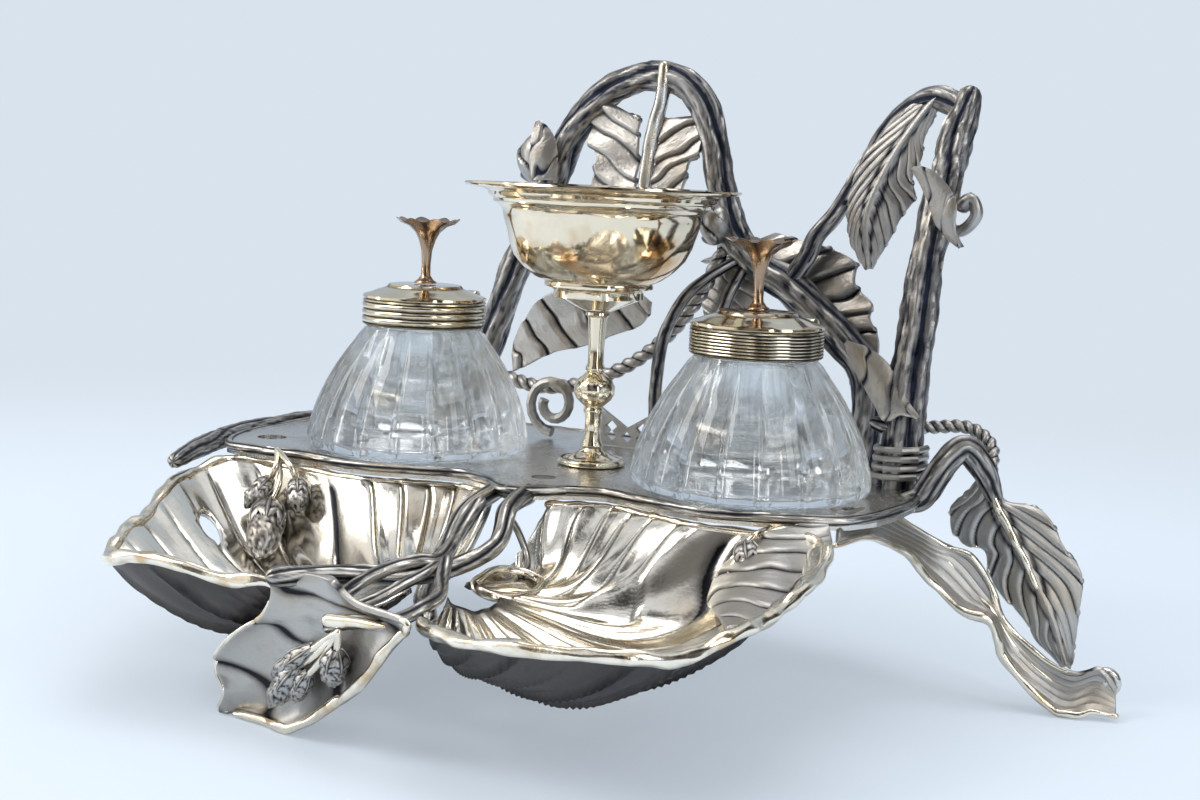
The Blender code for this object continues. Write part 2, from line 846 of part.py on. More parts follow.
def dish_point(side, row, share, fold=0.0):
    """A point of a dish, from its stem end to its rim. A fold of 1 lies in a groove between two ribs."""
    angle, reach, height = row
    turn = math.radians(angle)
    rim = PLATE_TOP - PLATE_THICK - GAP - DISH_THICK / 2.0
    rim_z = DISH_FORK_Z + height * (rim - DISH_FORK_Z)
    x = DISH_FORK_X + math.cos(turn) * reach * DISH_REACH * share
    y = -DISH_FORK_Y + math.sin(turn) * reach * DISH_REACH * share
    swell = max(math.sin(math.pi * share ** DISH_BELLY_SKEW), 0.0)
    z = DISH_FORK_Z + (rim_z - DISH_FORK_Z) * share - DISH_BELLY * swell * min(reach, 1.0)
    return Vector((side * x, y, z - fold * DISH_FOLD * swell))


def dish(name, side, rim):
    """A leaf dish: ribs fan out from its stem end and the bowl hangs between it and the rim."""
    lines = []
    for number, row in enumerate(rim):
        line = []
        for ring in range(DISH_RINGS + 1):
            share = DISH_START_SHARE + (1.0 - DISH_START_SHARE) * ring / DISH_RINGS
            line.append(dish_point(side, row, share, number % 2))
        lines.append(line)
    shell(name + "_form", lines, DISH_THICK + 2.0 * GAP, None)
    return shell(name, lines, DISH_THICK, "tray")


def dish_seats(side, rim, shares):
    """Centres and radii of nuts that rest on a dish's inner face."""
    seats = []
    for angle, share, size in shares:
        index = min(range(1, len(rim) - 1), key=lambda k: abs(rim[k][0] - angle))
        here = dish_point(side, rim[index], share)
        across = dish_point(side, rim[index + 1], share) - dish_point(side, rim[index - 1], share)
        step = 1.0 / DISH_RINGS
        outwards = dish_point(side, rim[index], min(share + step, 1.0)) - here
        normal = across.cross(outwards).normalized()
        if normal.z < 0.0:
            normal = -normal
        radius = size * NUT_R
        lift = radius * NUT_LONG_SHARE + DISH_THICK / 2.0
        seats.append((here + normal * lift, radius, normal))
    return seats


def leaf_seats(rows, half, face, cup, shares):
    """Centres and radii of nuts that rest on a leaf's cupped face."""
    seats = []
    for along, across, size in shares:
        index = min(max(round(along * (len(rows) - 1)), 1), len(rows) - 2)
        here = Vector(rows[index][:3])
        way = Vector(rows[index + 1][:3]) - Vector(rows[index - 1][:3])
        side = way.cross(face).normalized()
        normal = side.cross(way).normalized()
        if normal.dot(face) < 0.0:
            normal = -normal
        width = rows[index][3] * half
        radius = size * NUT_R
        lift = radius * NUT_LONG_SHARE + LEAF_THICK / 2.0 + cup * width * across * across
        seats.append((here + side * (width * across) + normal * lift, radius, normal))
    return seats


def nut_cluster(name, seats):
    """Hazelnuts joined by a short stalk as one piece. Each is a little longer along its seat's normal."""
    body = None
    for number, (centre, radius, normal) in enumerate(seats):
        turn = normal.to_track_quat("Z", "Y").to_matrix().to_4x4()
        size = Matrix.Diagonal((radius, radius, radius * NUT_LONG_SHARE, 1.0))
        spot = Matrix.Translation(centre) @ turn @ size

        def build(bm):
            bmesh.ops.create_uvsphere(bm, u_segments=9, v_segments=6, radius=1.0, matrix=spot)

        if number == 0:
            body = place(name, mesh_from(name, build), "tray")
            continue
        piece = name + "_nut_" + str(number)
        boolean(body, place(piece, mesh_from(piece, build), None), "UNION")
    path = [(*centre, radius / 2.0) for centre, radius, _ in seats]
    link = curve_to_mesh(curve_object(name + "_stalk", path), name + "_stalk")
    boolean(body, place(name + "_stalk", link, None), "UNION")
    return body


def bud(name, x, y, z, size):
    centre = rack_point(x, y, z)
    radius = size * BUD_R

    def build(bm):
        form = Matrix.Diagonal((radius, radius, radius * NUT_LONG_SHARE, 1.0))
        spot = Matrix.Translation(centre) @ form
        bmesh.ops.create_uvsphere(bm, u_segments=12, v_segments=8, radius=1.0, matrix=spot)

    return place(name, mesh_from(name, build), "rack")


def least_gap(rows):
    """The least clear distance between a coil's loops, measured on its points and links' middles."""
    points = [Vector(row[:3]) for row in rows]
    points += [(a + b) / 2.0 for a, b in zip(points, points[1:])]
    places = [float(index) for index in range(len(rows))]
    places += [index + 0.5 for index in range(len(rows) - 1)]
    apart = BINDING_POINTS / 2.0
    found = []
    for first, near in zip(places, points):
        for second, far in zip(places, points):
            if second - first > apart:
                found.append((far - near).length)
    return min(found) - 2.0 * rows[0][3]


def binding():
    """A cast cord wound round the foot of the post."""
    post = rack_rows(POST_SHARES, ARCH_R)
    high = Vector(post[1][:3])
    low = Vector(post[0][:3]).lerp(high, -POST_SHARES[0][2] / (POST_SHARES[1][2] - POST_SHARES[0][2]))
    rows = []
    for step in range(BINDING_TURNS * BINDING_POINTS + 1):
        turn = math.tau * step / BINDING_POINTS
        rise = BINDING_R + BINDING_PITCH * step / BINDING_POINTS
        share = rise / (high.z - low.z)
        axis = low.lerp(high, share)
        radius = post[0][3] + GAP + GAP + BINDING_R
        x = axis.x + math.cos(turn) * radius
        y = axis.y + math.sin(turn) * radius
        rows.append((x, y, low.z + rise, BINDING_R))
    print("post_binding least gap to itself, mm:", round(least_gap(rows) * 1000.0, 2))
    mesh = curve_to_mesh(curve_object("post_binding", rows), "post_binding")
    return place("post_binding", mesh, "rack")


def scroll():
    """A C-scroll volute that stands on the platform."""
    centre = rack_point(SCROLL_X_SHARE, SCROLL_Y_SHARE, 0.0)
    rows = []
    for step in range(SCROLL_POINTS + 1):
        share = step / SCROLL_POINTS
        turn = -math.pi / 2.0 - math.tau * SCROLL_TURNS * share
        radius = SCROLL_OUTER_R + (SCROLL_INNER_R - SCROLL_OUTER_R) * share
        x = centre.x + math.cos(turn) * radius
        z = centre.z + SCROLL_OUTER_R + SCROLL_TUBE_R + math.sin(turn) * radius
        rows.append((x, centre.y, z, SCROLL_TUBE_R))
    mesh = curve_to_mesh(curve_object("c_scroll", rows), "c_scroll")
    return place("c_scroll", mesh, "rack")


def lattice():
    """A low woven panel with a notched top, pierced by rows of diamonds."""
    centre = rack_point(LATTICE_X_SHARE, LATTICE_Y_SHARE, 0.0)
    half = LATTICE_WIDE / 2.0
    low = LATTICE_HIGH * LATTICE_NOTCH_SHARE
    points = ((-half, 0.0), (half, 0.0), (half, LATTICE_HIGH), (0.0, low), (-half, LATTICE_HIGH))
    mesh = flat_outline("lattice_panel", points, LATTICE_THICK, -LATTICE_THICK / 2.0)
    stand_up = Matrix.Translation(centre) @ Matrix.Rotation(math.pi / 2.0, 4, "X")
    mesh.transform(stand_up)
    panel = place("lattice_panel", mesh, "rack")
    pitch = LATTICE_WIDE / LATTICE_COLUMNS
    for column in range(LATTICE_COLUMNS):
        x = -half + pitch * (column + 0.5)
        top = low + (LATTICE_HIGH - low) * abs(x) / half
        rows = 1 if column == LATTICE_COLUMNS // 2 else 2
        for row in range(rows):
            z = top * (row + 1.0) / (rows + 1.0)
            name = "diamond_" + str(column) + "_" + str(row)
            cut(panel, diamond(name, centre + Vector((x, 0.0, z))))
    return panel


def diamond(name, centre):
    def build(bm):
        turn = Matrix.Translation(centre) @ Matrix.Rotation(math.pi / 2.0, 4, "X")
        bmesh.ops.create_cone(
            bm,
            cap_ends=True,
            segments=4,
            radius1=LATTICE_HOLE_HALF,
            radius2=LATTICE_HOLE_HALF,
            depth=LATTICE_THICK + 2.0 * OVERRUN,
            matrix=turn,
        )

    return place(name, mesh_from(name, build), None)


def fluted(name, profile, finish, parent):
    """A part with lobes all round, from rows of radius, height and the depth of the groove between lobes."""
    steps = GLASS_LOBES * LOBE_STEPS

    def build(bm):
        rings = []
        for radius, height, depth in profile:
            if radius == 0.0:
                rings.append([bm.verts.new((0.0, 0.0, height))] * steps)
                continue
            ring = []
            for step in range(steps):
                turn = math.tau * (step + LOBE_STEPS / 2.0) / steps
                reach = radius - depth if step % LOBE_STEPS == 0 else radius
                ring.append(bm.verts.new((math.cos(turn) * reach, math.sin(turn) * reach, height)))
            rings.append(ring)
        for near, far in zip(rings, rings[1:]):
            for step in range(steps):
                corners = (near[step - 1], near[step], far[step], far[step - 1])
                bm.faces.new(tuple(dict.fromkeys(corners)))
        bmesh.ops.recalc_face_normals(bm, faces=bm.faces)

    return place(name, mesh_from(name, build), finish, parent)


def glass_row(share, height):
    """A row of the bottle's outer side, grooved between its lobes but for its shoulder and foot."""
    grooved = FLUTE_LOW_SHARE < height < FLUTE_TOP_SHARE
    return share * GLASS_R, height * GLASS_HIGH, FLUTE_DEPTH if grooved else 0.0


def glass(side, frame):
    """A domed ink bottle with lobes all round, a thick foot and an open well inside."""
    top = GLASS_HIGH + NECK_HIGH
    bore = NECK_R - NECK_WALL
    rise = GLASS_HIGH - GLASS_FLOOR
    inner = [(share * bore, GLASS_FLOOR + height * rise) for share, height in CAVITY_SHARES]
    profile = [(0.0, GLASS_FLOOR), (CAVITY_BOTTOM_SHARE * bore, GLASS_FLOOR)]
    profile += inner
    profile += [(bore, GLASS_HIGH), (bore, top), (NECK_R, top), (NECK_R, GLASS_HIGH)]
    rows = [(radius, height, 0.0) for radius, height in profile]
    rows += [glass_row(share, height) for share, height in GLASS_SHARES]
    rows.append((0.0, 0.0, 0.0))
    return fluted("glass_" + side, rows, "glass", frame)


def knuckle(name, low, high, radius, axis_y, axis_z, frame):
    """A cylinder along the hinge's axis, as a piece to join or to cut with."""
    def build(bm):
        turn = Matrix.Translation(((low + high) / 2.0, axis_y, axis_z))
        turn = turn @ Matrix.Rotation(math.pi / 2.0, 4, "Y")
        bmesh.ops.create_cone(
            bm,
            cap_ends=True,
            segments=KNUCKLE_SIDES,
            radius1=radius,
            radius2=radius,
            depth=high - low,
            matrix=turn,
        )

    return place(name, mesh_from(name, build), None, frame)


def block(name, corner, opposite, frame):
    """A box cutter or joined piece between two corners."""
    def build(bm):
        bmesh.ops.create_cube(bm, size=1.0)
        size = Vector(opposite) - Vector(corner)
        middle = (Vector(opposite) + Vector(corner)) / 2.0
        bmesh.ops.scale(bm, verts=bm.verts, vec=size)
        bmesh.ops.translate(bm, verts=bm.verts, vec=middle)

    return place(name, mesh_from(name, build), None, frame)


def hinge_axis():
    """The hinge's height and its distance behind the bottle's axis."""
    top = GLASS_HIGH + NECK_HIGH + GAP
    return COLLAR_R + GAP + KNUCKLE_R, top + GAP / 2.0


def collar(side, frame):
    """The metal collar round the neck, with the hinge's two outer knuckles."""
    axis_y, axis_z = hinge_axis()
    top = GLASS_HIGH + NECK_HIGH + GAP
    low = GLASS_HIGH + GAP
    inner = NECK_R + GAP
    middle = (top + low) / 2.0
    profile = (
        (inner, top),
        (COLLAR_R, top),
        (COLLAR_R, middle + COLLAR_BEAD),
        (COLLAR_R - COLLAR_BEAD, middle),
        (COLLAR_R, middle - COLLAR_BEAD),
        (COLLAR_R, low),
        (inner, low),
    )
    ring = turned("collar_" + side, profile, "polished", frame, closed=True)
    inside = LID_KNUCKLE_LONG / 2.0 + GAP
    outside = inside + KNUCKLE_LONG
    for hand, near, far in (("a", -outside, -inside), ("b", inside, outside)):
        name = "collar_knuckle_" + hand + "_" + side
        boolean(ring, knuckle(name, near, far, KNUCKLE_R, axis_y, axis_z, frame), "UNION")
        root = (near + GAP, COLLAR_R - COLLAR_BEAD - COLLAR_BEAD, axis_z - HINGE_TAB_ROOT)
        tip = (far - GAP, axis_y, axis_z - KNUCKLE_R / 2.0)
        boolean(ring, block("collar_lug_" + hand + "_" + side, root, tip, frame), "UNION")
    bore = HINGE_PIN_R + PIN_CLEARANCE
    far = outside + OVERRUN
    cut(ring, knuckle("collar_bore_" + side, -far, far, bore, axis_y, axis_z, frame))
    return ring


def lid(side, frame):
    """A low cone of a lid, hollow below, with the hinge's middle knuckle."""
    axis_y, axis_z = hinge_axis()
    base = GLASS_HIGH + NECK_HIGH + GAP + GAP
    top = base + LID_RISE
    profile = (
        (0.0, top),
        (LID_TOP_R, top),
        (LID_TOP_R, top - LID_WALL / 2.0),
        (COLLAR_R, base + LID_WALL),
        (COLLAR_R, base),
        (COLLAR_R - LID_WALL - LID_WALL, base),
        (LID_TOP_R, top - LID_WALL - LID_WALL),
        (0.0, top - LID_WALL - LID_WALL),
    )
    cover = turned("lid_" + side, profile, "polished", frame)
    half = LID_KNUCKLE_LONG / 2.0
    name = "lid_knuckle_" + side
    boolean(cover, knuckle(name, -half, half, KNUCKLE_R, axis_y, axis_z, frame), "UNION")
    root = (GAP - half, COLLAR_R - LID_WALL, base + GAP)
    tip = (half - GAP, axis_y, base + HINGE_TAB_THICK)
    boolean(cover, block("lid_tab_" + side, root, tip, frame), "UNION")
    bore = HINGE_PIN_R + PIN_CLEARANCE
    far = half + OVERRUN
    cut(cover, knuckle("lid_bore_" + side, -far, far, bore, axis_y, axis_z, frame))
    return cover


def hinge_frame(side, frame):
    """An empty on the hinge's axis, and in it the frame in which the lid is drawn."""
    axis_y, axis_z = hinge_axis()
    hinge = empty("lid_" + side + "_hinge", (0.0, axis_y, axis_z), 0.0, frame)
    return empty("lid_" + side + "_frame", (0.0, -axis_y, -axis_z), 0.0, hinge)


def hinge_pin(side, frame):
    axis_y, axis_z = hinge_axis()
    far = LID_KNUCKLE_LONG / 2.0 + GAP + KNUCKLE_LONG
    pin = knuckle("pin_form_" + side, -far, far, HINGE_PIN_R, axis_y, axis_z, frame)
    mesh = pin.data
    bpy.data.objects.remove(pin, do_unlink=True)
    return place("hinge_pin_" + side, mesh, "polished", frame)


def finial(side, frame):
    """A trumpet flower on a thin stem, fixed to the lid's top."""
    base = GLASS_HIGH + NECK_HIGH + GAP + GAP + LID_RISE + GAP
    profile = [(0.0, base + FINIAL_SHARES[2][1] * FINIAL_HIGH)]
    profile += [(share * FINIAL_TRUMPET_R, base + height * FINIAL_HIGH) for share, height in FINIAL_SHARES]
    profile += [(FINIAL_STEM_R, base + FINIAL_HIGH / 2.0)]
    profile += [(FINIAL_STEM_R, base + FINIAL_STEM_R)]
    profile += [(FINIAL_STEM_R + FINIAL_STEM_R, base), (0.0, base)]
    return turned("finial_" + side, profile, "polished", frame, FINIAL_STEPS)


def inkwell(side, frame):
    glass(side, frame)
    collar(side, frame)
    hinge_pin(side, frame)
    opening = hinge_frame(side, frame)
    lid(side, opening)
    finial(side, opening)


def cup():
    """The stemmed cup, screwed to the platform by the stud of its foot."""
    frame = empty("cup_frame", (0.0, CUP_Y, PLATE_TOP + GAP), 0.0, STAND)
    foot = (
        (0.0, CUP_FOOT_HIGH),
        (CUP_STEM_R + CUP_WALL, CUP_FOOT_HIGH),
        (CUP_FOOT_R / 2.0, CUP_FOOT_HIGH / 2.0),
        (CUP_FOOT_R, CUP_WALL),
        (CUP_FOOT_R, 0.0),
        (STUD_R, 0.0),
        (STUD_R, -STUD_DROP),
        (0.0, -STUD_DROP),
    )
    turned("cup_foot", foot, "polished", frame)
    low = CUP_FOOT_HIGH + GAP
    high = low + CUP_STEM_HIGH
    knot = low + CUP_STEM_HIGH * CUP_KNOT_SHARE
    stem = (
        (0.0, high),
        (CUP_STEM_R + CUP_WALL, high),
        (CUP_STEM_R, high - CUP_KNOT_HALF),
        (CUP_STEM_R, knot + CUP_KNOT_HALF),
        (CUP_KNOT_R, knot + CUP_WALL),
        (CUP_KNOT_R, knot - CUP_WALL),
        (CUP_STEM_R, knot - CUP_KNOT_HALF),
        (CUP_STEM_R, low + CUP_KNOT_HALF),
        (CUP_STEM_R + CUP_WALL, low),
        (0.0, low),
    )
    turned("cup_stem", stem, "polished", frame, FINIAL_STEPS)
    base = high + GAP
    outer = [(share * CUP_BOWL_R, base + height * CUP_BOWL_HIGH) for share, height in CUP_BOWL_SHARES]
    rim = base + CUP_BOWL_HIGH
    inner = [(radius - CUP_WALL, height + CUP_WALL) for radius, height in outer if radius > outer[8][0]]
    floor = outer[8][1] + CUP_WALL
    profile = [(0.0, floor), (outer[9][0] - CUP_WALL, floor)]
    profile += reversed(inner)
    profile += [(CUP_RIM_R, rim), (CUP_RIM_R, rim - CUP_WALL)]
    profile += outer
    profile.append((0.0, base))
    turned("cup_bowl", profile, "polished", frame)
    nut_top = -(GAP + PLATE_THICK + GAP)
    ring = (
        (STUD_R + GAP, nut_top),
        (NUT_OUTER_R, nut_top),
        (NUT_OUTER_R, nut_top - NUT_THICK),
        (STUD_R + GAP, nut_top - NUT_THICK),
    )
    turned("cup_nut", ring, "polished", frame, 6, closed=True)


def tray():
    """The platform, its dishes, stems, branches, feet and nuts."""
    platform()
    plate = plate_cutter()
    ground = ground_cutter()
    over = [(*tray_point(*row), TRAY_STEM_R) for row in STEM_OVER_SHARES]
    under = [(*tray_point(*row), TRAY_STEM_R) for row in STEM_UNDER_SHARES]
    over_form = tube_cutter("stem_over_form", over)
    under_form = tube_cutter("stem_under_form", under)
    cut(tube("tray_stem_over", over, "tray"), plate)
    cut(tube("tray_stem_under", under, "tray"), over_form, plate)
    left_rim = dish_rim(-1.0, LEFT_BACK_SHARES, LEFT_RIM_SHARES)
    right_rim = dish_rim(1.0, RIGHT_BACK_SHARES, RIGHT_RIM_SHARES)
    cut(dish("dish_left", -1.0, left_rim), over_form, under_form)
    cut(dish("dish_right", 1.0, right_rim), over_form, under_form)
    nuts = nut_cluster("hazelnuts_left", dish_seats(-1.0, left_rim, LEFT_NUT_SHARES))
    cut(nuts, bpy.data.objects["dish_left_form"])
    nuts = nut_cluster("hazelnuts_right", dish_seats(1.0, right_rim, RIGHT_NUT_SHARES))
    cut(nuts, bpy.data.objects["dish_right_form"])
    feet(plate, ground, over_form, under_form)


def feet(plate, ground, *stems):
    """The front leaf foot, the right branch with its two leaves, and the left branch with its foot."""
    rows = tray_rows(FRONT_LEAF_SHARES, 1.0)
    face = Vector((0.0, -1.0, 0.2)).normalized()
    front = leaf("front_foot_leaf", rows, FRONT_LEAF_HALF, "tray", face, FRONT_LEAF_CUP, 4)
    cut(front, ground, *stems)
    seats = leaf_seats(catmull(rows, 2), FRONT_LEAF_HALF, face, FRONT_LEAF_CUP, FRONT_NUT_SHARES)
    form = leaf_form("front_foot_form", rows, FRONT_LEAF_HALF, face, FRONT_LEAF_CUP, across=4)
    cut(nut_cluster("hazelnuts_front", seats), form, ground)
    branch = tray_rows(RIGHT_BRANCH_SHARES, BRANCH_R)
    branch_form = tube_cutter("right_branch_form", branch)
    cut(tube("right_branch", branch, "tray"), plate)
    rows = leg_rows(RIGHT_LEAF_SHARES, branch[-1][0], LEG_REACH)
    cut(leaf("right_leg_leaf", rows, LEG_LEAF_HALF, "tray"), branch_form)
    rows = leg_rows(RIGHT_FOOT_SHARES, RIGHT_FOOT_START_SHARE * PLATE_REACH, LEG_REACH)
    lower = leaf("right_foot_leaf", rows, FOOT_LEAF_HALF, "tray", face, FOOT_LEAF_CUP)
    cut(lower, plate, ground, branch_form)
    cut(knob(rows[-1]), leaf_form("right_foot_form", rows, FOOT_LEAF_HALF + GAP, face, FOOT_LEAF_CUP))
    branch = tray_rows(LEFT_BRANCH_SHARES, BRANCH_R)
    branch_form = tube_cutter("left_branch_form", branch)
    cut(tube("left_branch", branch, "tray"), plate)
    rows = leg_rows(LEFT_FOOT_SHARES, -LEFT_FOOT_START_SHARE * PLATE_REACH, -LEG_REACH)
    lower = leaf("left_foot_leaf", rows, FOOT_LEAF_HALF, "tray", face, FOOT_LEAF_CUP)
    cut(lower, plate, ground, branch_form)


def knob(tip):
    """The curled end that sits on the right foot leaf's upper edge."""
    centre = Vector(tip[:3])
    size = tip[3]
    centre.x -= KNOB_R
    centre.z += size * FOOT_LEAF_HALF + KNOB_R

    def build(bm):
        spot = Matrix.Translation(centre)
        bmesh.ops.create_uvsphere(bm, u_segments=12, v_segments=8, radius=KNOB_R, matrix=spot)

    return place("right_foot_knob", mesh_from("right_foot_knob", build), "tray")


def rack():
    """The back rack of branches, leaves, ropes and scroll work."""
    arch = rack_rows(ARCH_SHARES, ARCH_R)
    arch_form = tube_cutter("arch_form", arch)
    plate = bpy.data.objects["plate_form"]
    cut(tube("arch_branch", arch, "rack"), plate)
    post = rack_rows(POST_SHARES, ARCH_R)
    post_form = tube_cutter("post_form", post)
    cut(tube("right_post", post, "rack"), plate)
    peak = rack_rows(PEAK_SHARES, ARCH_R)
    peak_form = tube_cutter("peak_form", peak)
    cut(tube("peak_branch", peak, "rack"), arch_form, post_form)
    rope = rack_rows(ROPE_STEM_SHARES, ARCH_R)
    rope_form = tube_cutter("rope_form", rope)
    cut(tube("rope_stem", rope, "rack"), arch_form)
    cut(tube("reed_stem", rack_rows(REED_SHARES, ARCH_R), "rack"), arch_form, rope_form, plate)
    cut(tube("cane_stem", rack_rows(CANE_SHARES, ARCH_R), "rack"), arch_form, rope_form, plate)
    branch_form = bpy.data.objects["right_branch_form"]
    cut(tube("rope_loop", rack_rows(ROPE_LOOP_SHARES, ARCH_R), "rack"), post_form, branch_form)
    cut(tube("tendril_curl", rack_rows(TENDRIL_SHARES, ARCH_R), "rack"), post_form)
    cut(tube("post_stub", rack_rows(STUB_SHARES, ARCH_R), "rack"), post_form)
    cut(rack_leaf("centre_leaf", CENTRE_LEAF_SHARES, CENTRE_LEAF_HALF, 0.15, -0.25), arch_form)
    cut(rack_leaf("big_leaf", BIG_LEAF_SHARES, BIG_LEAF_HALF, 0.12), arch_form, peak_form)
    hanging = rack_leaf("hanging_leaf", HANGING_LEAF_SHARES, HANGING_LEAF_HALF, 0.2, -0.15)
    cut(hanging, peak_form, post_form)
    cut(rack_leaf("lower_leaf", LOWER_LEAF_SHARES, LOWER_LEAF_HALF), rope_form)
    cut(rack_leaf("thorn_upper", THORN_UPPER_SHARES, THORN_HALF), post_form)
    cut(rack_leaf("thorn_lower", THORN_LOWER_SHARES, THORN_HALF), post_form)
    for name, values in BUD_SHARES.items():
        cut(bud(name, *values), arch_form)
    binding()
    scroll()
    lattice()


def main():
    tray()
    for side, frame in well_frames().items():
        inkwell(side, frame)
    cup()
    rack()
    for obj in CUTTERS.objects:
        make_cutter(obj)


main()
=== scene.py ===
"""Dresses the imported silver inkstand: cast leaf tray, fluted glass wells, turned cup and branch rack.

Everything is in metres in the stand's own frame: the wells lie on a line along X, the leaf
dishes reach towards -Y and the rack stands at +Y.
"""

import logging
import math
from dataclasses import dataclass, field
from enum import Enum
from typing import Callable, Optional, Sequence

import bmesh
import bpy
from mathutils import Matrix, Vector, noise


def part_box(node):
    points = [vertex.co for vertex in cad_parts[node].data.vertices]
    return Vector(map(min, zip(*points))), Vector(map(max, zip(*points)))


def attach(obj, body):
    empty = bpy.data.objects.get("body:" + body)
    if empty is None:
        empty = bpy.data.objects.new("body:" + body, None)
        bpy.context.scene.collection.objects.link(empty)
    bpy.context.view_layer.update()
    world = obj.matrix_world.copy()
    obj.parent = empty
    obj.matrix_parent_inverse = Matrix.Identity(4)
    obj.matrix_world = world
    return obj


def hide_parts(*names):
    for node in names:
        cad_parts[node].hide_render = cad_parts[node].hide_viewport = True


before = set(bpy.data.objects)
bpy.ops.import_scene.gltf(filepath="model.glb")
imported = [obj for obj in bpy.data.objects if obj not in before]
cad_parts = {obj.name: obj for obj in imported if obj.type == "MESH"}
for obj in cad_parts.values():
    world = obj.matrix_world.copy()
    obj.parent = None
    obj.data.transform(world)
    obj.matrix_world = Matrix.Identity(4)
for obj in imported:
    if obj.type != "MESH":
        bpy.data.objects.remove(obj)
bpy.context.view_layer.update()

LOG = logging.getLogger("inkstand")

Row = tuple[float, ...]
Colour = tuple[float, float, float]
Section = Callable[[float, float, float], tuple[float, float]]
Place = Callable[[float, float], tuple[Vector, float]]

WELL_LINE = 0.0213
PLATE_TOP = 0.050
PLATE_REACH = 0.086
PLATE_DEPTH = 0.058
LEG_REACH = 0.1335
RACK_HALF = 0.090
RACK_SETBACK = 0.056
RACK_RISE = 0.105
BRANCH_R = 0.0043
# The lids' hinge knuckles: their radius, and their axis outside the collar and above the neck, in metres.
KNUCKLE_R = 0.0020
KNUCKLE_OUT = 0.0023
KNUCKLE_UP = 0.00045
# The seam between the cup's turned pieces, in metres.
CUP_SEAM = 0.0003


class Body(Enum):
    """The moving bodies of the stand."""

    STAND = "stand"
    LEFT_BOTTLE = "left_bottle"
    RIGHT_BOTTLE = "right_bottle"
    LEFT_LID = "left_lid"
    RIGHT_LID = "right_lid"


class Slot(Enum):
    """The record's material slots."""

    TRAY = "tray_silver"
    RACK = "rack_silver"
    POLISHED = "polished_silver"
    GLASS = "well_glass"


class Signal:
    """A value in a shader: Python's operators add Math nodes to it."""

    def __init__(self, tree: "ShaderTree", socket: bpy.types.NodeSocket) -> None:
        """Wraps one output socket.

        Args:
            tree: the shader that the socket belongs to.
            socket: the output to work on.
        """
        self.tree = tree
        self.socket = socket

    def math(self, operation: str, *others: object, clamp: bool = False) -> "Signal":
        """Adds one Math node.

        Args:
            operation: the node's operation.
            others: the values or signals after this one.
            clamp: whether the result is kept between 0 and 1.

        Returns:
            The node's value.
        """
        settings = {"operation": operation, "use_clamp": clamp}
        return self.tree.node("ShaderNodeMath", settings, dict(enumerate((self, *others))))

    def __add__(self, other: object) -> "Signal":
        """Adds."""
        return self.math("ADD", other)

    def __radd__(self, other: object) -> "Signal":
        """Adds, reflected."""
        return self.math("ADD", other)

    def __sub__(self, other: object) -> "Signal":
        """Takes away."""
        return self.math("SUBTRACT", other)

    def __rsub__(self, other: float) -> "Signal":
        """Takes this signal away from a number."""
        return self.math("MULTIPLY", -1.0).math("ADD", other)

    def __mul__(self, other: object) -> "Signal":
        """Multiplies."""
        return self.math("MULTIPLY", other)

    def __rmul__(self, other: object) -> "Signal":
        """Multiplies, reflected."""
        return self.math("MULTIPLY", other)

    def clamped(self) -> "Signal":
        """The signal kept between 0 and 1."""
        return self.math("ADD", 0.0, clamp=True)

    def step(self, low: float, high: float) -> "Signal":
        """A soft step from 0 at low to 1 at high.

        Args:
            low: where the step starts.
            high: where it ends.

        Returns:
            The step's value.
        """
        settings = {"interpolation_type": "SMOOTHSTEP"}
        values = {"Value": self, "From Min": low, "From Max": high}
        return self.tree.node("ShaderNodeMapRange", settings, values)


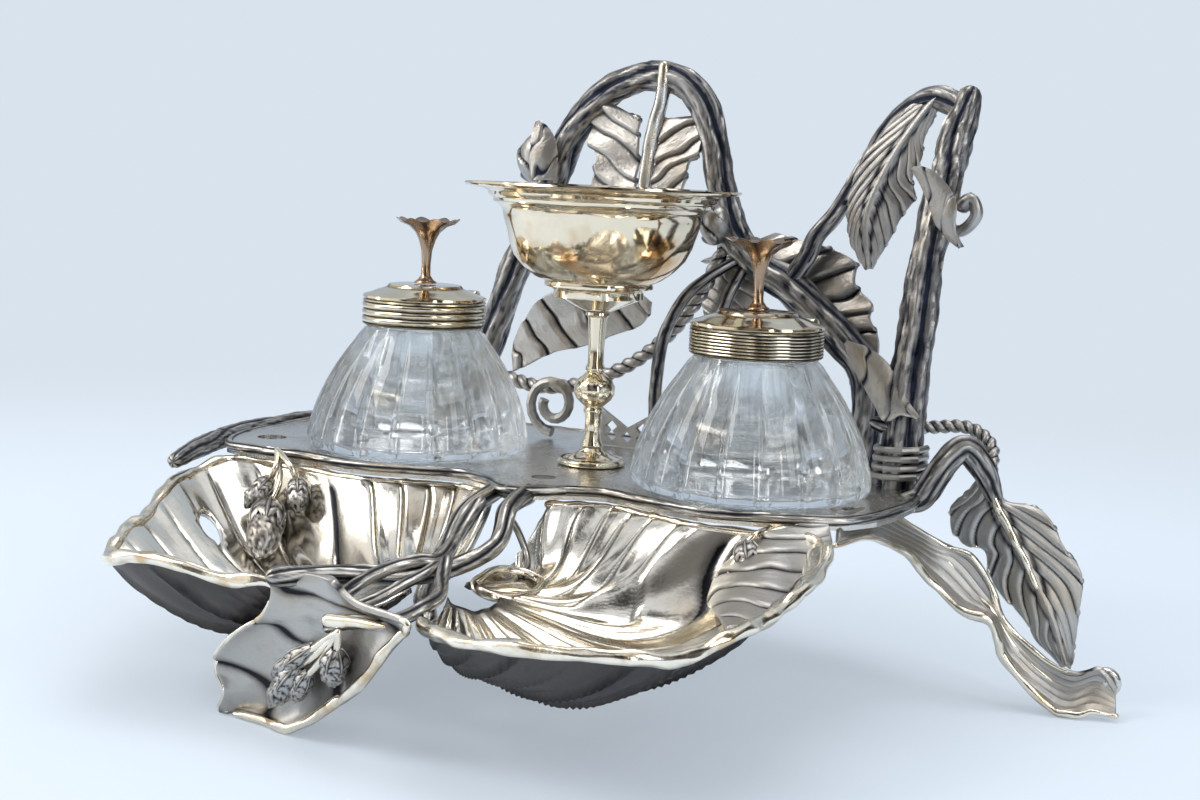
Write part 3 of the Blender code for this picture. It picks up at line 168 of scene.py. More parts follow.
class ShaderTree:
    """A material's nodes."""

    def __init__(self, name: str) -> None:
        """Starts a material with an empty tree.

        Args:
            name: the material's name.
        """
        self.material = bpy.data.materials.new(name)
        self.material.use_nodes = True
        self.tree = self.material.node_tree
        self.tree.nodes.clear()

    def node(self, kind: str, settings: dict, values: dict, output: object = 0) -> Signal:
        """Adds a node.

        Args:
            kind: the node's type.
            settings: the node's own properties, set first.
            values: what goes into its sockets, by name or number: a signal or a plain value.
            output: the socket that comes out, by name or number.

        Returns:
            The chosen output.
        """
        made = self.tree.nodes.new(kind)
        for key, value in settings.items():
            setattr(made, key, value)
        for key, value in values.items():
            socket = made.inputs[key]
            if isinstance(value, Signal):
                self.tree.links.new(value.socket, socket)
            elif isinstance(value, tuple) and len(value) == 3 and len(socket.default_value) == 4:
                socket.default_value = (*value, 1.0)
            else:
                socket.default_value = value
        return Signal(self, made.outputs[output])

    def place(self) -> Signal:
        """The point's place in the stand's frame."""
        return self.node("ShaderNodeTexCoord", {}, {}, "Object")

    def attribute(self, name: str, output: str = "Fac") -> Signal:
        """Reads a value that the mesh carries.

        Args:
            name: the attribute's name.
            output: Fac for a number, or Vector.

        Returns:
            Its value at the point.
        """
        return self.node("ShaderNodeAttribute", {"attribute_name": name}, {}, output)

    def noise(self, where: Signal, scale: float, detail: float = 4.0) -> Signal:
        """Plain noise between 0 and 1.

        Args:
            where: the point that the noise is read at.
            scale: how fine it is, in cells a metre.
            detail: how many finer layers it has.

        Returns:
            The noise's value.
        """
        values = {"Vector": where, "Scale": scale, "Detail": detail, "Roughness": 0.6}
        return self.node("ShaderNodeTexNoise", {}, values, 0)

    def mix(self, factor: Signal, first: object, second: object) -> Signal:
        """Mixes two colours.

        Args:
            factor: 0 for the first and 1 for the second.
            first: a colour or a signal.
            second: a colour or a signal.

        Returns:
            The mixed colour.
        """
        values = {0: factor, 6: first, 7: second}
        return self.node("ShaderNodeMix", {"data_type": "RGBA"}, values, 2)

    def finish(self, shader: Signal) -> bpy.types.Material:
        """Joins a shader to the output.

        Args:
            shader: the surface's shader.

        Returns:
            The finished material.
        """
        out = self.tree.nodes.new("ShaderNodeOutputMaterial")
        self.tree.links.new(shader.socket, out.inputs["Surface"])
        return self.material


@dataclass(frozen=True)
class SilverFinish:
    """Silver that is bright on its high places and oxidised in its hollows."""

    name: str
    bright: Colour
    dark: Colour
    warm: Colour
    rough: float
    rough_gain: float
    hollow: float
    patch: float
    patch_scale: float
    stain: float
    grain: float
    grain_scale: float
    pitting: float

    def build(self) -> bpy.types.Material:
        """Makes the material.

        Returns:
            A metal whose colour, roughness and relief follow the mesh's hollows and grain.
        """
        tree = ShaderTree(self.name)
        where = tree.place()
        deep = tree.attribute("deep")
        broad = tree.noise(where, self.patch_scale, 5.0)
        fine = tree.noise(where, 900.0, 3.0)
        streak = tree.noise(tree.attribute("grain", "Vector"), self.grain_scale, 3.0)
        cloud = (broad - 0.5) * self.patch
        veil = deep * self.hollow + cloud + (streak - 0.5) * self.grain + (fine - 0.5) * 0.12
        mask = veil.clamped()
        stain = tree.noise(where, self.patch_scale * 0.55, 4.0).step(0.52, 0.70) * self.stain
        colour = tree.mix(mask, self.bright, self.dark)
        colour = tree.mix(stain * (1.0 - mask), colour, self.warm)
        rough = self.rough + mask * self.rough_gain + (fine - 0.5) * 0.05
        height = streak * self.grain + fine * self.pitting
        values = {"Height": height, "Strength": 0.35, "Distance": 0.0003}
        bump = tree.node("ShaderNodeBump", {}, values, 0)
        inputs = {
            "Base Color": colour,
            "Metallic": 1.0,
            "Roughness": rough,
            "Normal": bump,
        }
        return tree.finish(tree.node("ShaderNodeBsdfPrincipled", {}, inputs, 0))


@dataclass(frozen=True)
class GlassFinish:
    """Clear cut glass."""

    name: str
    tint: Colour
    rough: float
    index: float
    straight: float = 0.30

    def build(self) -> bpy.types.Material:
        """Makes the material.

        Returns:
            A clear glass through which a share of the light goes straight, as through a thin wall.
        """
        tree = ShaderTree(self.name)
        inputs = {
            "Base Color": self.tint,
            "Roughness": self.rough,
            "IOR": self.index,
            "Transmission Weight": 1.0,
        }
        clear = tree.node("ShaderNodeBsdfPrincipled", {}, inputs, 0)
        straight = tree.node("ShaderNodeBsdfTransparent", {}, {"Color": self.tint}, 0)
        return tree.finish(tree.node("ShaderNodeMixShader", {}, {0: self.straight, 1: clear, 2: straight}, 0))


@dataclass(frozen=True)
class FloorFinish:
    """The pale studio floor. The camera sees it a little lighter than it is lit."""

    name: str
    colour: Colour
    seen: Colour
    lift: float

    def build(self) -> bpy.types.Material:
        """Makes the material.

        Returns:
            A matt floor.
        """
        tree = ShaderTree(self.name)
        matt = tree.node("ShaderNodeBsdfDiffuse", {}, {"Color": self.colour}, 0)
        glow = tree.node("ShaderNodeEmission", {}, {"Color": self.seen, "Strength": 1.0}, 0)
        rays = tree.node("ShaderNodeLightPath", {}, {}, "Is Camera Ray")
        away = tree.node("ShaderNodeVectorMath", {"operation": "LENGTH"}, {0: tree.place()}, "Value")
        share = self.lift + away.step(0.25, 0.80) * (1.0 - self.lift)
        mixed = tree.node("ShaderNodeMixShader", {}, {0: rays * share, 1: matt, 2: glow}, 0)
        return tree.finish(mixed)


def spline(four: Sequence[float], t: float) -> float:
    """A smooth value between the middle two of four.

    Args:
        four: four values in a row.
        t: the share of the way from the second to the third.

    Returns:
        The value there.
    """
    a, b, c, d = four
    ease = c - a + t * (2.0 * a - 5.0 * b + 4.0 * c - d + t * (3.0 * (b - c) + d - a))
    return b + 0.5 * t * ease


def row_at(rows: Sequence[Row], share: float) -> Row:
    """The smooth row at a share of the way along the rows.

    Args:
        rows: rows of numbers.
        share: 0 at the first row and 1 at the last.

    Returns:
        The row there.
    """
    last = len(rows) - 1
    here = min(max(share, 0.0), 1.0) * last
    index = min(int(here), last - 1)
    four = [rows[min(max(index + k - 1, 0), last)] for k in range(4)]
    return tuple(spline(values, here - index) for values in zip(*four))


def even_path(rows: Sequence[Row], spacing: float) -> list[Row]:
    """The rows as a smooth path with points at even distances.

    Args:
        rows: x, y, z and radius of each point.
        spacing: the distance between points.

    Returns:
        The path's rows.
    """
    fine = [row_at(rows, k / (40.0 * len(rows))) for k in range(40 * len(rows) + 1)]
    reach = [0.0]
    for near, far in zip(fine, fine[1:]):
        reach.append(reach[-1] + (Vector(far[:3]) - Vector(near[:3])).length)
    count = max(int(reach[-1] / spacing), 4)
    found: list[Row] = []
    index = 0
    for k in range(count + 1):
        goal = reach[-1] * k / count
        while index < len(fine) - 2 and reach[index + 1] < goal:
            index += 1
        span = max(reach[index + 1] - reach[index], 1e-9)
        t = (goal - reach[index]) / span
        found.append(tuple(a + (b - a) * t for a, b in zip(fine[index], fine[index + 1])))
    return found


def rounded(path: Sequence[Row]) -> list[Row]:
    """Adds a dome to each end of a path, so that its tube ends round.

    Args:
        path: rows of x, y, z and radius.

    Returns:
        The longer path.
    """
    steps = ((0.0, 1.0), (0.5, 0.87), (0.8, 0.6), (0.96, 0.28), (1.0, 0.06))
    tip = Vector(path[-1][:3])
    ahead = (tip - Vector(path[-2][:3])).normalized()
    tail = Vector(path[0][:3])
    behind = (tail - Vector(path[1][:3])).normalized()
    start = [(*(tail + behind * (path[0][3] * a)), path[0][3] * b) for a, b in reversed(steps[1:])]
    end = [(*(tip + ahead * (path[-1][3] * a)), path[-1][3] * b) for a, b in steps[1:]]
    return start + list(path) + end


def tray_row(x: float, y: float, z: float, size: float, reach: float = PLATE_REACH) -> Row:
    """A point of the tray from its shares, in the stand's frame."""
    return (x * reach, y * PLATE_DEPTH + WELL_LINE, z * PLATE_TOP, size)


def rack_row(x: float, y: float, z: float, size: float) -> Row:
    """A point of the rack from its shares, in the stand's frame."""
    return (x * RACK_HALF, y * RACK_SETBACK + WELL_LINE, PLATE_TOP + 0.0003 + z * RACK_RISE, size)


def valley(value: float, width: float) -> float:
    """A narrow valley at each whole number: 1 in it and 0 away from it."""
    away = abs(value - round(value))
    return math.exp(-((away / width) ** 2))


def smooth_step(low: float, high: float, value: float) -> float:
    """A soft step from 0 at low to 1 at high."""
    t = min(max((value - low) / (high - low), 0.0), 1.0)
    return t * t * (3.0 - 2.0 * t)


class Form:
    """A mesh in the making. Each point carries its depth in the relief and its place in the grain."""

    def __init__(self) -> None:
        """Starts an empty mesh."""
        self.bm = bmesh.new()
        self.deep = self.bm.verts.layers.float.new("deep")
        self.grain = self.bm.verts.layers.float_vector.new("grain")
        self.turn = self.bm.verts.layers.int.new("turn")

    def tube(self, path: Sequence[Row], sides: int, section: Section) -> None:
        """Adds a tube: a circle extruded ring by ring along a path.

        Args:
            path: rows of x, y, z and radius.
            sides: points round the tube.
            section: gives a radius factor and a depth from the distance along, the angle and
                the share of the way.
        """
        ring = bmesh.ops.create_circle(self.bm, segments=sides, radius=1.0)["verts"]
        for index, vert in enumerate(ring):
            vert[self.turn] = index
        edges = list({edge for vert in ring for edge in vert.link_edges})
        first = edges
        points = [Vector(row[:3]) for row in path]
        side = (points[1] - points[0]).orthogonal().normalized()
        along = 0.0
        for index, here in enumerate(points):
            ahead = points[min(index + 1, len(points) - 1)] - points[max(index - 1, 0)]
            ahead.normalize()
            side = (side - ahead * side.dot(ahead)).normalized()
            up = ahead.cross(side)
            if index:
                along += (here - points[index - 1]).length
                made = bmesh.ops.extrude_edge_only(self.bm, edges=edges)["geom"]
                ring = [item for item in made if isinstance(item, bmesh.types.BMVert)]
                inside = set(ring)
                edges = [
                    item for item in made
                    if isinstance(item, bmesh.types.BMEdge) and inside.issuperset(item.verts)
                ]
            for vert in ring:
                angle = math.tau * vert[self.turn] / sides
                factor, deep = section(along, angle, index / (len(points) - 1))
                way = side * math.cos(angle) + up * math.sin(angle)
                vert.co = here + way * (path[index][3] * factor)
                vert[self.deep] = deep
                radius = path[index][3]
                vert[self.grain] = (math.cos(angle) * radius, math.sin(angle) * radius, along * 0.08)
        for loop in (first, edges):
            bmesh.ops.edgeloop_fill(self.bm, edges=loop)

    def sheet(
        self,
        across: int,
        along: int,
        place: Place,
        holes: Sequence[Row] = (),
        grain: Optional[Callable[[float, float], Row]] = None,
    ) -> None:
        """Adds a sheet: a grid pierced by oval holes and then laid in space.

        Args:
            across: cells along u.
            along: cells along v.
            place: gives a point and its depth from u and v.
            holes: u, v and the half widths of each hole along u and v.
            grain: gives a point's place in the grain from u and v.
        """
        made = bmesh.ops.create_grid(self.bm, x_segments=across, y_segments=along, size=0.5)["verts"]
        spots = {vert: (vert.co.x + 0.5, vert.co.y + 0.5) for vert in made}
        for u, v, wide, high in holes:
            inside = []
            for face in {face for vert in made for face in vert.link_faces}:
                middle = face.calc_center_median()
                away = math.hypot((middle.x + 0.5 - u) / wide, (middle.y + 0.5 - v) / high)
                if away < 1.0:
                    inside.append(face)
            bmesh.ops.delete(self.bm, geom=inside, context="FACES")
            made = [vert for vert in made if vert.is_valid and vert.link_faces]
            for vert in made:
                if not vert.is_boundary:
                    continue
                offset = Vector(((spots[vert][0] - u) / wide, (spots[vert][1] - v) / high))
                if 0.0 < offset.length < 1.35:
                    offset.normalize()
                    spots[vert] = (u + offset.x * wide, v + offset.y * high)
        for vert in made:
            point, deep = place(*spots[vert])
            vert.co = point
            vert[self.deep] = deep
            if grain:
                vert[self.grain] = grain(*spots[vert])

    def turned(self, profile: Sequence[tuple[float, float]], steps: int) -> None:
        """Adds a turned form: a line of radius and height spun about Z.

        Args:
            profile: the line's points, down its outer side.
            steps: points round.
        """
        verts = [self.bm.verts.new((radius, 0.0, height)) for radius, height in profile]
        edges = [self.bm.edges.new(pair) for pair in zip(verts, verts[1:])]
        bmesh.ops.spin(
            self.bm,
            geom=verts + edges,
            cent=(0.0, 0.0, 0.0),
            axis=(0.0, 0.0, 1.0),
            angle=math.tau,
            steps=steps,
            use_merge=True,
        )
        bmesh.ops.remove_doubles(self.bm, verts=self.bm.verts, dist=1e-6)
        bmesh.ops.dissolve_degenerate(self.bm, edges=self.bm.edges, dist=1e-7)
        for vert in self.bm.verts:
            reach = math.hypot(vert.co.x, vert.co.y)
            vert[self.grain] = (0.0, reach, vert.co.z)

    def ball(self, centre: Vector, axis: Vector, size: Vector, rings: int = 16) -> list:
        """Adds an egg.

        Args:
            centre: its middle.
            axis: the way its long end points.
            size: its half widths, the long one last.
            rings: rings from pole to pole.

        Returns:
            Its points.
        """
        turn = axis.to_track_quat("Z", "Y").to_matrix().to_4x4()
        spot = Matrix.Translation(centre) @ turn @ Matrix.Diagonal((*size, 1.0))
        made = bmesh.ops.create_uvsphere(
            self.bm, u_segments=rings + rings // 2, v_segments=rings, radius=1.0, matrix=spot
        )
        return made["verts"]

    def move(self, matrix: Matrix) -> None:
        """Moves all the points by a matrix."""
        bmesh.ops.transform(self.bm, matrix=matrix, verts=self.bm.verts)

    def bake(
        self,
        name: str,
        finish: bpy.types.Material,
        body: Body,
        slot: Slot,
        stands_for: Sequence[str] = (),
        thick: float = 0.0,
        levels: int = 0,
        sharp: float = 50.0,
    ) -> bpy.types.Object:
        """Turns the form into a piece that rides on a body.

        Args:
            name: the piece's name.
            finish: its material.
            body: the body that carries it.
            slot: not used.
            stands_for: CAD nodes that it stands for.
            thick: the wall that a sheet gets.
            levels: levels of subdivision.
            sharp: the angle in degrees past which an edge stays sharp.

        Returns:
            The piece.
        """
        if not thick:
            bmesh.ops.recalc_face_normals(self.bm, faces=self.bm.faces)
        mesh = bpy.data.meshes.new(name)
        self.bm.to_mesh(mesh)
        self.bm.free()
        mesh.shade_smooth()
        mesh.set_sharp_from_angle(angle=math.radians(sharp))
        piece = bpy.data.objects.new(name, mesh)
        bpy.context.scene.collection.objects.link(piece)
        mesh.materials.append(finish)
        if thick:
            wall = piece.modifiers.new("wall", "SOLIDIFY")
            wall.thickness = thick
            wall.offset = 0.0
            wall.use_even_offset = False
        if levels:
            fine = piece.modifiers.new("fine", "SUBSURF")
            fine.levels = levels
            fine.render_levels = levels
        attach(piece, body.value)
        if stands_for:
            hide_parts(*stands_for)
        LOG.info("%s: %d faces on %s", name, len(mesh.polygons), body.value)
        return piece


@dataclass(frozen=True)
class Bark:
    """A stem's cross-section with lengthwise grooves that wander and twist."""

    grooves: int = 5
    depth: float = 0.16
    width: float = 0.16
    twist: float = 30.0
    knots: float = 0.06
    seed: float = 0.0

    def __call__(self, along: float, angle: float, share: float) -> tuple[float, float]:
        """The radius factor and depth at a point of the stem."""
        wander = noise.noise(Vector((along * 45.0, self.seed, 0.0))) * 0.5
        turn = angle / math.tau * self.grooves + along * self.twist + wander
        groove = valley(turn, self.width)
        fine = valley(turn * 3.0 + 0.5 + wander, 0.22) * 0.6
        round_about = Vector((math.cos(angle), math.sin(angle), 0.0))
        swell = noise.noise(round_about + Vector((0.0, 0.0, along * 90.0 + self.seed)))
        ridge = noise.noise(round_about * 5.0 + Vector((0.0, 0.0, along * 260.0 + self.seed)))
        factor = 1.0 - self.depth * (groove + fine * 0.35) + self.knots * (swell + 0.9 * ridge)
        return factor, max(groove, fine, smooth_step(0.05, -0.45, ridge) * 0.7)


@dataclass(frozen=True)
class Rope:
    """A rope's cross-section: strands laid round each other."""

    strands: int = 3
    depth: float = 0.30
    pitch: float = 0.0075

    def __call__(self, along: float, angle: float, share: float) -> tuple[float, float]:
        """The radius factor and depth at a point of the rope."""
        turn = (angle / math.tau - along / self.pitch) * self.strands
        crest = abs(math.cos(math.pi * turn))
        return 1.0 - self.depth * (1.0 - crest), smooth_step(0.45, 0.05, crest)


@dataclass(frozen=True)
class Plain:
    """A smooth cross-section with a slight waviness."""

    wave: float = 0.05
    seed: float = 0.0

    def __call__(self, along: float, angle: float, share: float) -> tuple[float, float]:
        """The radius factor and depth at a point."""
        swell = noise.noise(Vector((math.cos(angle), math.sin(angle), along * 160.0 + self.seed)))
        return 1.0 + self.wave * swell, max(-swell, 0.0) * 0.5


@dataclass
class Leaf:
    """A cast leaf: a midrib, slanting side veins, a cupped blade and a wavy edge."""

    rows: Sequence[Row]
    half: float
    face: Vector = field(default_factory=lambda: Vector((0.0, -1.0, 0.0)))
    cup: float = 0.25
    veins: float = 9.0
    slant: float = 0.35
    relief: float = 0.0007
    midrib: float = 0.0012
    rib_share: float = 0.09
    wave: float = 0.0008
    waves: float = 6.0
    teeth: float = 0.04
    holes: Sequence[Row] = ()

    def place(self, u: float, v: float) -> tuple[Vector, float]:
        """A point of the blade: u goes across it and v along it."""
        row = row_at(self.rows, v)
        here = Vector(row[:3])
        ahead = Vector(row_at(self.rows, min(v + 0.02, 1.0))[:3])
        behind = Vector(row_at(self.rows, max(v - 0.02, 0.0))[:3])
        way = (ahead - behind).normalized()
        side = way.cross(self.face).normalized()
        out = side.cross(way).normalized()
        if out.dot(self.face) < 0.0:
            out = -out
        across = 2.0 * u - 1.0
        bare = abs(across)
        width = max(row[3], 0.03) * self.half
        scallop = math.sin(math.pi * self.waves * 2.0 * v + across)
        width *= 1.0 + self.teeth * scallop * bare**3
        vein = (v + self.slant * bare * (1.0 if self.slant else 0.0)) * self.veins
        crease = valley(vein, 0.13)
        fade = smooth_step(0.05, 0.25, bare) * smooth_step(1.02, 0.85, bare) * smooth_step(0.0, 0.08, v)
        crown = math.sin(math.pi * (vein % 1.0)) * self.relief * fade
        rib = math.exp(-((bare / self.rib_share) ** 2)) * self.midrib * (1.0 - 0.7 * v)
        gutter = math.exp(-(((bare - 2.1 * self.rib_share) / (0.7 * self.rib_share)) ** 2))
        lift = self.cup * width * across * across + crown + rib - crease * self.relief * fade * 0.5
        lift += self.wave * scallop * bare**2 * smooth_step(0.0, 0.2, v)
        point = here + side * (width * across) + out * lift
        deep = max(crease * fade, gutter * 0.8 * smooth_step(0.0, 0.1, v))
        return point, deep

    def build(self, form: Form, across: int = 48, along: int = 72) -> None:
        """Adds the leaf to a form.

        Args:
            form: the mesh that it goes into.
            across: cells across.
            along: cells along.
        """
        form.sheet(across, along, self.place, self.holes)
        for vert in form.bm.verts:
            vert[form.grain] = (vert.co.x * 0.3, vert.co.y, vert.co.z)


def millimetres(row: Row) -> Vector:
    """A point given in millimetres, in metres."""
    return Vector(row[:3]) * 0.001


@dataclass
class Blade:
    """A cast blade between two edges: folds that lap one another, a midrib and a curled lip."""

    left: Sequence[Row]
    right: Sequence[Row]
    middle: Sequence[Row] = ()
    face: Vector = field(default_factory=lambda: Vector((0.0, -1.0, 0.0)))
    folds: float = 7.0
    slant: float = 0.25
    fold: float = 0.0008
    crease: float = 0.0005
    belly: float = 0.0
    rib: float = 0.0
    rib_wide: float = 0.10
    lip: float = 0.0
    teeth: float = 0.0
    seed: float = 0.0

    def phase(self, u: float, v: float) -> float:
        """Which fold a point lies on, and how far across it."""
        bare = abs(2.0 * u - 1.0) if self.middle else u
        drift = noise.noise(Vector((u * 2.0, v * 4.0, self.seed))) * 0.30
        return (v + self.slant * bare) * self.folds + drift

    def grain(self, u: float, v: float) -> Row:
        """The grain runs along the folds."""
        return (self.phase(u, v) * 0.0070, u * 0.0035, self.seed)

    def place(self, u: float, v: float) -> tuple[Vector, float]:
        """A point of the blade: u goes across it and v along it."""
        near = millimetres(row_at(self.left, v))
        far = millimetres(row_at(self.right, v))
        across = 2.0 * u - 1.0
        base = near.lerp(far, u)
        if self.middle:
            spine = millimetres(row_at(self.middle, v))
            base = spine.lerp(far if across > 0.0 else near, abs(across))
        bare = abs(across)
        span = far - near
        small = min(span.length / 0.018, 1.0)
        phase = self.phase(u, v)
        lap = phase % 1.0
        groove = valley(phase, 0.085)
        fade = smooth_step(0.0, 0.05, v) * smooth_step(1.0, 0.95, v)
        if self.middle:
            fade *= smooth_step(0.04, 0.18, bare)
        rise = lap * smooth_step(1.0, 0.86, lap)
        rib = math.exp(-((bare / self.rib_wide) ** 2)) * self.rib * (1.0 - 0.5 * v)
        lift = (rise * self.fold - groove * self.crease) * fade * small + rib
        lift += self.belly * (1.0 - across * across) * small + self.lip * bare**6
        tooth = self.teeth * (lap - 0.4) * bare**4 * fade
        point = base + self.face * lift + span * (math.copysign(0.5, across) * tooth)
        point.z = max(point.z, 0.0010)
        gutter = math.exp(-(((bare - 2.3 * self.rib_wide) / (0.8 * self.rib_wide)) ** 2)) if self.rib else 0.0
        return point, max(groove * fade, gutter * 0.8)

    def edge(self, u: float, start: float, end: float, radius: float) -> list[Row]:
        """The rows of a bead along the blade.

        Args:
            u: where across the blade it runs.
            start: the share along the blade where it starts.
            end: where it ends.
            radius: its half thickness.

        Returns:
            Its rows of x, y, z and radius.
        """
        rows = []
        for step in range(61):
            v = start + (end - start) * step / 60.0
            swell = 1.0 + 0.35 * noise.noise(Vector((v * 14.0, self.seed, 3.0)))
            slim = 0.45 + 0.55 * math.sin(math.pi * min(max(step / 60.0, 0.02), 0.98)) ** 0.5
            point, _ = self.place(u, v)
            thick = radius * swell * slim
            point.z = max(point.z, thick * 1.3)
            rows.append((*point, thick))
        return rows

    def build(self, form: Form, across: int = 48, along: int = 96, holes: Sequence[Row] = ()) -> None:
        """Adds the blade to a form.

        Args:
            form: the mesh that it goes into.
            across: cells across.
            along: cells along.
            holes: u, v and the half widths of each hole.
        """
        form.sheet(across, along, self.place, holes, self.grain)


@dataclass
class Nut:
    """A hazelnut in its husk: a stippled nut and five pointed bracts laid over it."""

    start: Vector
    tip: Vector
    half: float
    out: Vector

    def build(self, form: Form) -> None:
        """Adds the nut to a form.

        Args:
            form: the mesh that it goes into.
        """
        down = self.tip - self.start
        long = down.length
        down.normalize()
        out = (self.out - down * self.out.dot(down)).normalized()
        side = down.cross(out)
        half = self.half
        middle = self.start + down * (long * 0.60)
        core = form.ball(middle, down, Vector((half, half, long * 0.42)), 26)
        for vert in core:
            away = vert.co - middle
            share = away.dot(down) / (long * 0.42)
            pinch = 1.0 - 0.45 * smooth_step(0.2, 1.0, share)
            vert.co = middle + down * away.dot(down) + (away - down * away.dot(down)) * pinch
            rough = noise.noise(vert.co * 1700.0) + 0.5 * noise.noise(vert.co * 3200.0)
            vert.co += away.normalized() * (rough * half * 0.14)
            vert[form.deep] = 0.75 * smooth_step(0.05, -0.40, rough)
            vert[form.grain] = vert.co
        for turn in (-2.1, -1.05, 0.0, 1.05, 2.1):
            lean = out * math.cos(turn) + side * math.sin(turn)
            rows = []
            for step in range(7):
                t = step / 6.0
                bulge = math.sin(math.pi * min(t * 0.62 + 0.10, 1.0)) * half * 1.10
                here = self.start + down * (long * (0.60 * t - 0.06)) + lean * bulge
                rows.append((*here, (0.22, 0.55, 0.80, 0.85, 0.70, 0.40, 0.05)[step]))
            leaf = Leaf(rows, half * 0.78, lean, cup=-0.35, veins=3.0, slant=0.2, relief=half * 0.04,
                        midrib=half * 0.16, wave=0.0, teeth=0.0)
            form.sheet(10, 18, leaf.place)


@dataclass
class Finishes:
    """The stand's materials."""

    tray: bpy.types.Material
    dish: bpy.types.Material
    cast: bpy.types.Material
    # edge: pale silver for rims, beads and stalks, partly rubbed by wear and partly a painted highlight.
    edge: bpy.types.Material
    # under: near-black silver for the dishes' undersides, partly oxide and partly painted shade.
    under: bpy.types.Material
    rack: bpy.types.Material
    polished: bpy.types.Material
    collar: bpy.types.Material
    finial: bpy.types.Material
    glass: bpy.types.Material


def make_finishes() -> Finishes:
    """Makes the stand's materials.

    Returns:
        One of each finish.
    """
    tray = SilverFinish("cast_silver", (0.62, 0.60, 0.56), (0.030, 0.030, 0.036), (0.42, 0.31, 0.18),
                        0.26, 0.22, 1.20, 1.00, 95.0, 0.45, 0.45, 900.0, 0.60)
    dish = SilverFinish("dish_silver", (0.80, 0.77, 0.70), (0.018, 0.018, 0.022), (0.52, 0.38, 0.20),
                        0.15, 0.20, 1.35, 0.60, 62.0, 0.60, 0.16, 500.0, 0.22)
    cast = SilverFinish("matt_cast_silver", (0.46, 0.445, 0.42), (0.030, 0.030, 0.036), (0.40, 0.31, 0.19),
                        0.40, 0.18, 1.25, 0.80, 120.0, 0.35, 0.65, 1100.0, 0.90)
    # The rims' and beads' silver is pale ivory: partly rubbed by wear, partly a painted highlight along the
    # edges.
    edge = SilverFinish("rubbed_and_highlight_silver", (0.88, 0.81, 0.68), (0.10, 0.075, 0.05), (0.60, 0.42, 0.22),
                        0.16, 0.20, 0.9, 0.75, 220.0, 0.80, 0.25, 900.0, 0.50)
    # The undersides' silver is near black: partly oxide, partly painted shade from the shadowed floor below.
    under = SilverFinish("underside_shade_and_oxide_silver", (0.10, 0.09, 0.085), (0.012, 0.012, 0.012), (0.12, 0.09, 0.07),
                         0.38, 0.20, 0.9, 1.2, 90.0, 0.3, 0.2, 500.0, 0.4)
    rack = SilverFinish("rack_silver_oxide", (0.40, 0.385, 0.365), (0.020, 0.024, 0.038), (0.30, 0.24, 0.17),
                        0.36, 0.20, 1.30, 0.90, 130.0, 0.45, 1.00, 1300.0, 1.10)
    polished = SilverFinish("polished_silver_warm", (0.78, 0.69, 0.53), (0.10, 0.055, 0.025),
                            (0.52, 0.27, 0.09),
                            0.09, 0.15, 0.9, 0.55, 60.0, 1.0, 0.10, 900.0, 0.14)
    collar = SilverFinish("turned_silver", (0.66, 0.59, 0.46), (0.05, 0.04, 0.03), (0.44, 0.31, 0.17),
                          0.16, 0.16, 1.2, 0.45, 70.0, 0.60, 0.15, 2600.0, 0.15)
    finial = SilverFinish("flower_silver", (0.36, 0.25, 0.17), (0.05, 0.03, 0.02), (0.34, 0.17, 0.07),
                          0.20, 0.18, 1.1, 0.70, 120.0, 0.9, 0.15, 1200.0, 0.2)
    glass = GlassFinish("clear_glass", (0.97, 0.99, 1.0), 0.0, 1.48)
    made = (tray, dish, cast, edge, under, rack, polished, collar, finial, glass)
    return Finishes(*(finish.build() for finish in made))


